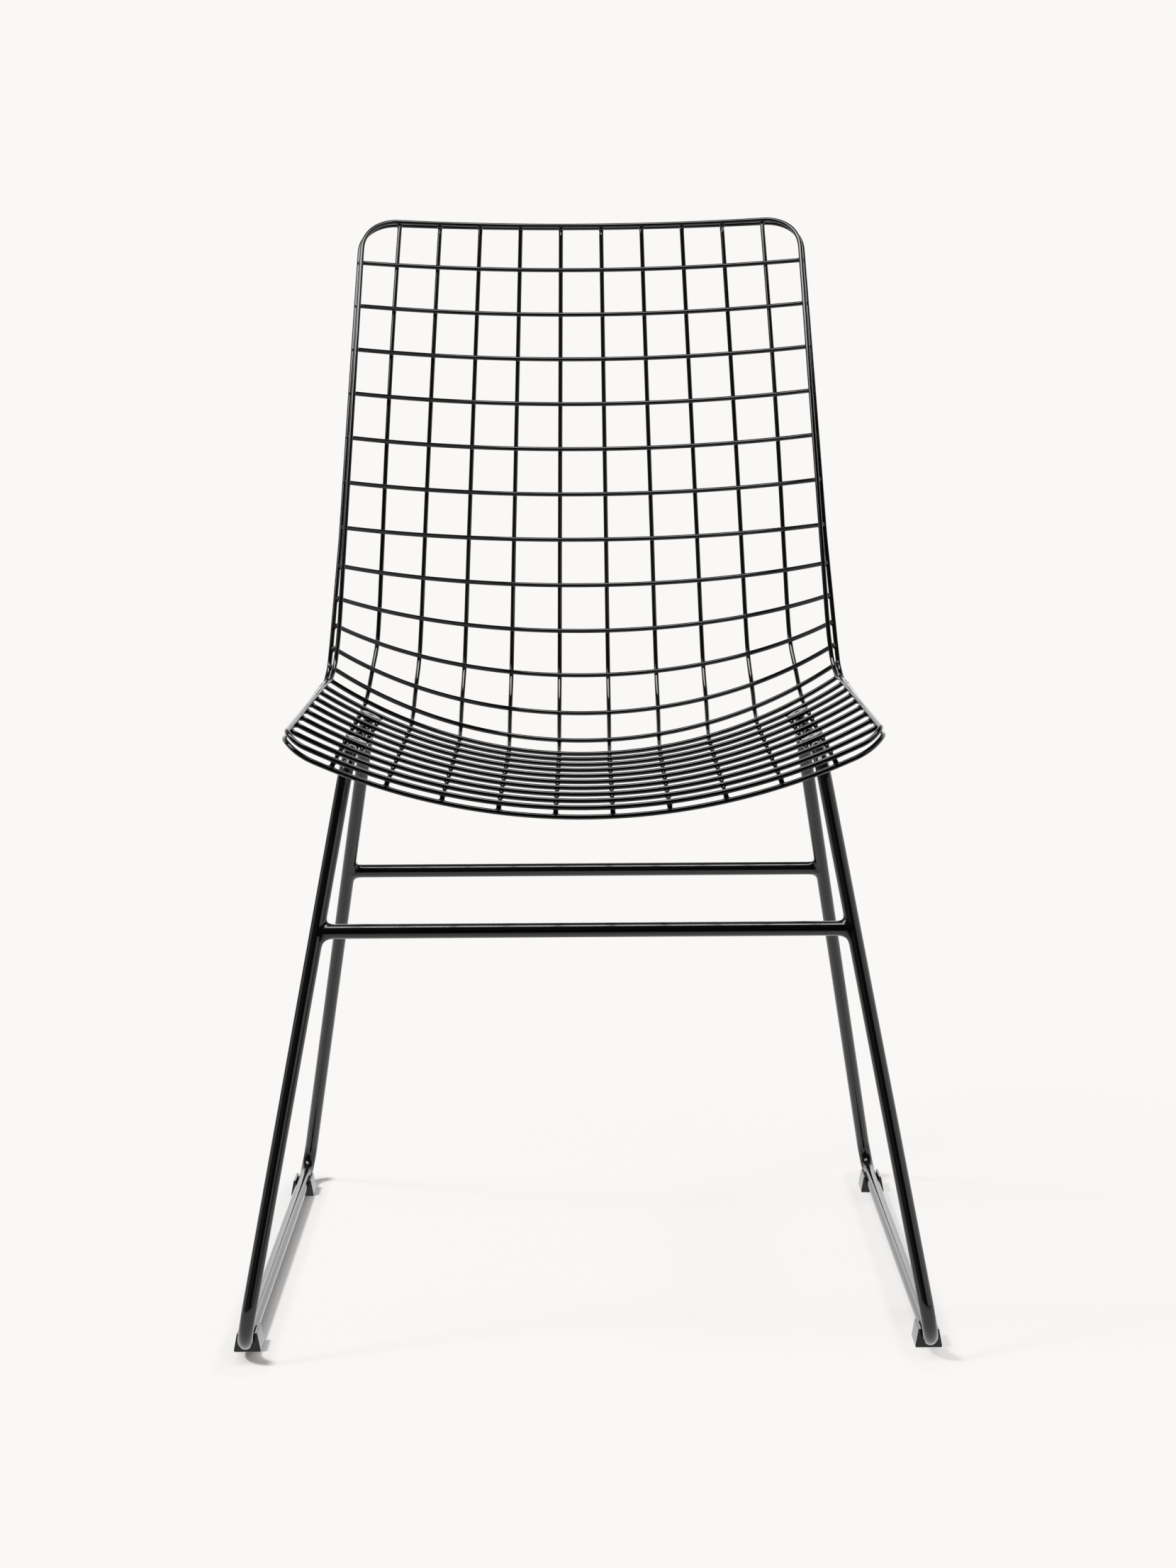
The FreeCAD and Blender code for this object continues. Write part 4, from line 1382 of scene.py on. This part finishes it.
paper = bpy.data.materials.new("paper_sweep")
paper.use_nodes = True
sweep = paper.node_tree
sweep.nodes.clear()
place = add_node(sweep, "ShaderNodeTexCoord").outputs["Object"]
place_parts = add_node(sweep, "ShaderNodeSeparateXYZ", {0: place})
from_chair = add_node(sweep, "ShaderNodeVectorMath", {0: place}, operation="LENGTH")
aside = maths(sweep, "ABSOLUTE", maths(sweep, "SUBTRACT", maths(
    sweep, "ABSOLUTE", place_parts.outputs["X"]), FLOOR_TRACK / 2))
beyond = maths(sweep, "MAXIMUM", maths(sweep, "SUBTRACT", maths(
    sweep, "ABSOLUTE", place_parts.outputs["Y"]), RAIL_HALF_LENGTH), 0.0)
from_rail = maths(sweep, "SQRT", maths(sweep, "ADD", maths(
    sweep, "MULTIPLY", aside, aside), maths(sweep, "MULTIPLY", beyond, beyond)))
rail_shadow = ramp(sweep, place_parts.outputs["X"], LEFT_ENDS_X, RIGHT_STARTS_X,
                   LEFT_RAIL_SHADOW, RIGHT_RAIL_SHADOW)
near_chair = maths(
    sweep, "MULTIPLY",
    ramp(sweep, from_chair.outputs["Value"], SHADOW_FADE_FROM, SHADOW_FADE_TO, 1.0, 0.0),
    ramp(sweep, from_rail, RAIL_SHADOW_FROM, RAIL_SHADOW_TO, rail_shadow, WIDE_SHADOW))
on_paper = ramp(sweep, place_parts.outputs["Y"], PAPER_FADE_FAR_Y, PAPER_FADE_NEAR_Y)
leaning = add_node(sweep, "ShaderNodeVectorMath", {0: place, 1: PAPER_WHITE_SLOPE},
                   operation="DOT_PRODUCT")
outwards = maths(sweep, "MULTIPLY", maths(sweep, "POWER", from_chair.outputs["Value"], 2.0),
                 PAPER_WHITE_RISE)
white = maths(sweep, "ADD", maths(sweep, "ADD", leaning.outputs["Value"], outwards),
              PAPER_WHITE, use_clamp=True)
tint = [channel / BACKGROUND[1] for channel in BACKGROUND]
lit_colour = add_node(sweep, "ShaderNodeVectorMath", {0: tint, 3: white}, operation="SCALE")
lit = add_node(sweep, "ShaderNodeBsdfDiffuse", {"Color": lit_colour.outputs[0]})
flat = add_node(sweep, "ShaderNodeEmission", {"Color": BACKGROUND + (1.0,), "Strength": 1.0})
camera_view = add_node(sweep, "ShaderNodeMixShader", {
    0: near_chair, 1: flat.outputs[0], 2: lit.outputs[0]})
mirrored = add_node(sweep, "ShaderNodeEmission", {
    "Strength": maths(sweep, "MULTIPLY", on_paper, PAPER_GLOW)})
eye = add_node(sweep, "ShaderNodeLightPath")
seen_floor = add_node(sweep, "ShaderNodeMixShader", {
    0: eye.outputs["Is Camera Ray"], 1: mirrored.outputs[0], 2: camera_view.outputs[0]})
add_node(sweep, "ShaderNodeOutputMaterial", {"Surface": seen_floor.outputs[0]})
print("paper nodes:", len(sweep.nodes))

# %% [markdown]
# ## The sheet of paper
#
# The sheet is one large square on the ground. It is a part of the studio, not of the chair.

# %% Lay the floor
FLOOR_HALF_SIZE = 8.0

floor_mesh = bpy.data.meshes.new("studio_floor")
floor_mesh.from_pydata([(x * FLOOR_HALF_SIZE, y * FLOOR_HALF_SIZE, 0)
                        for x, y in ((-1, -1), (1, -1), (1, 1), (-1, 1))],
                       [], [(0, 1, 2, 3)])
floor_mesh.materials.append(paper)
floor = put_in_scene("studio_floor", floor_mesh)
print("floor laid, %.0f m wide" % (2 * FLOOR_HALF_SIZE))

# %% [markdown]
# ## The last measurements
#
# Every piece was set against the box of the solid it stands for, so the worst gap tells at once
# whether a size is out.

# %% Finish
worst = max(box_gaps, key=box_gaps.get)
print("worst box gap: %s, %.3f mm" % (worst, box_gaps[worst] / MM))
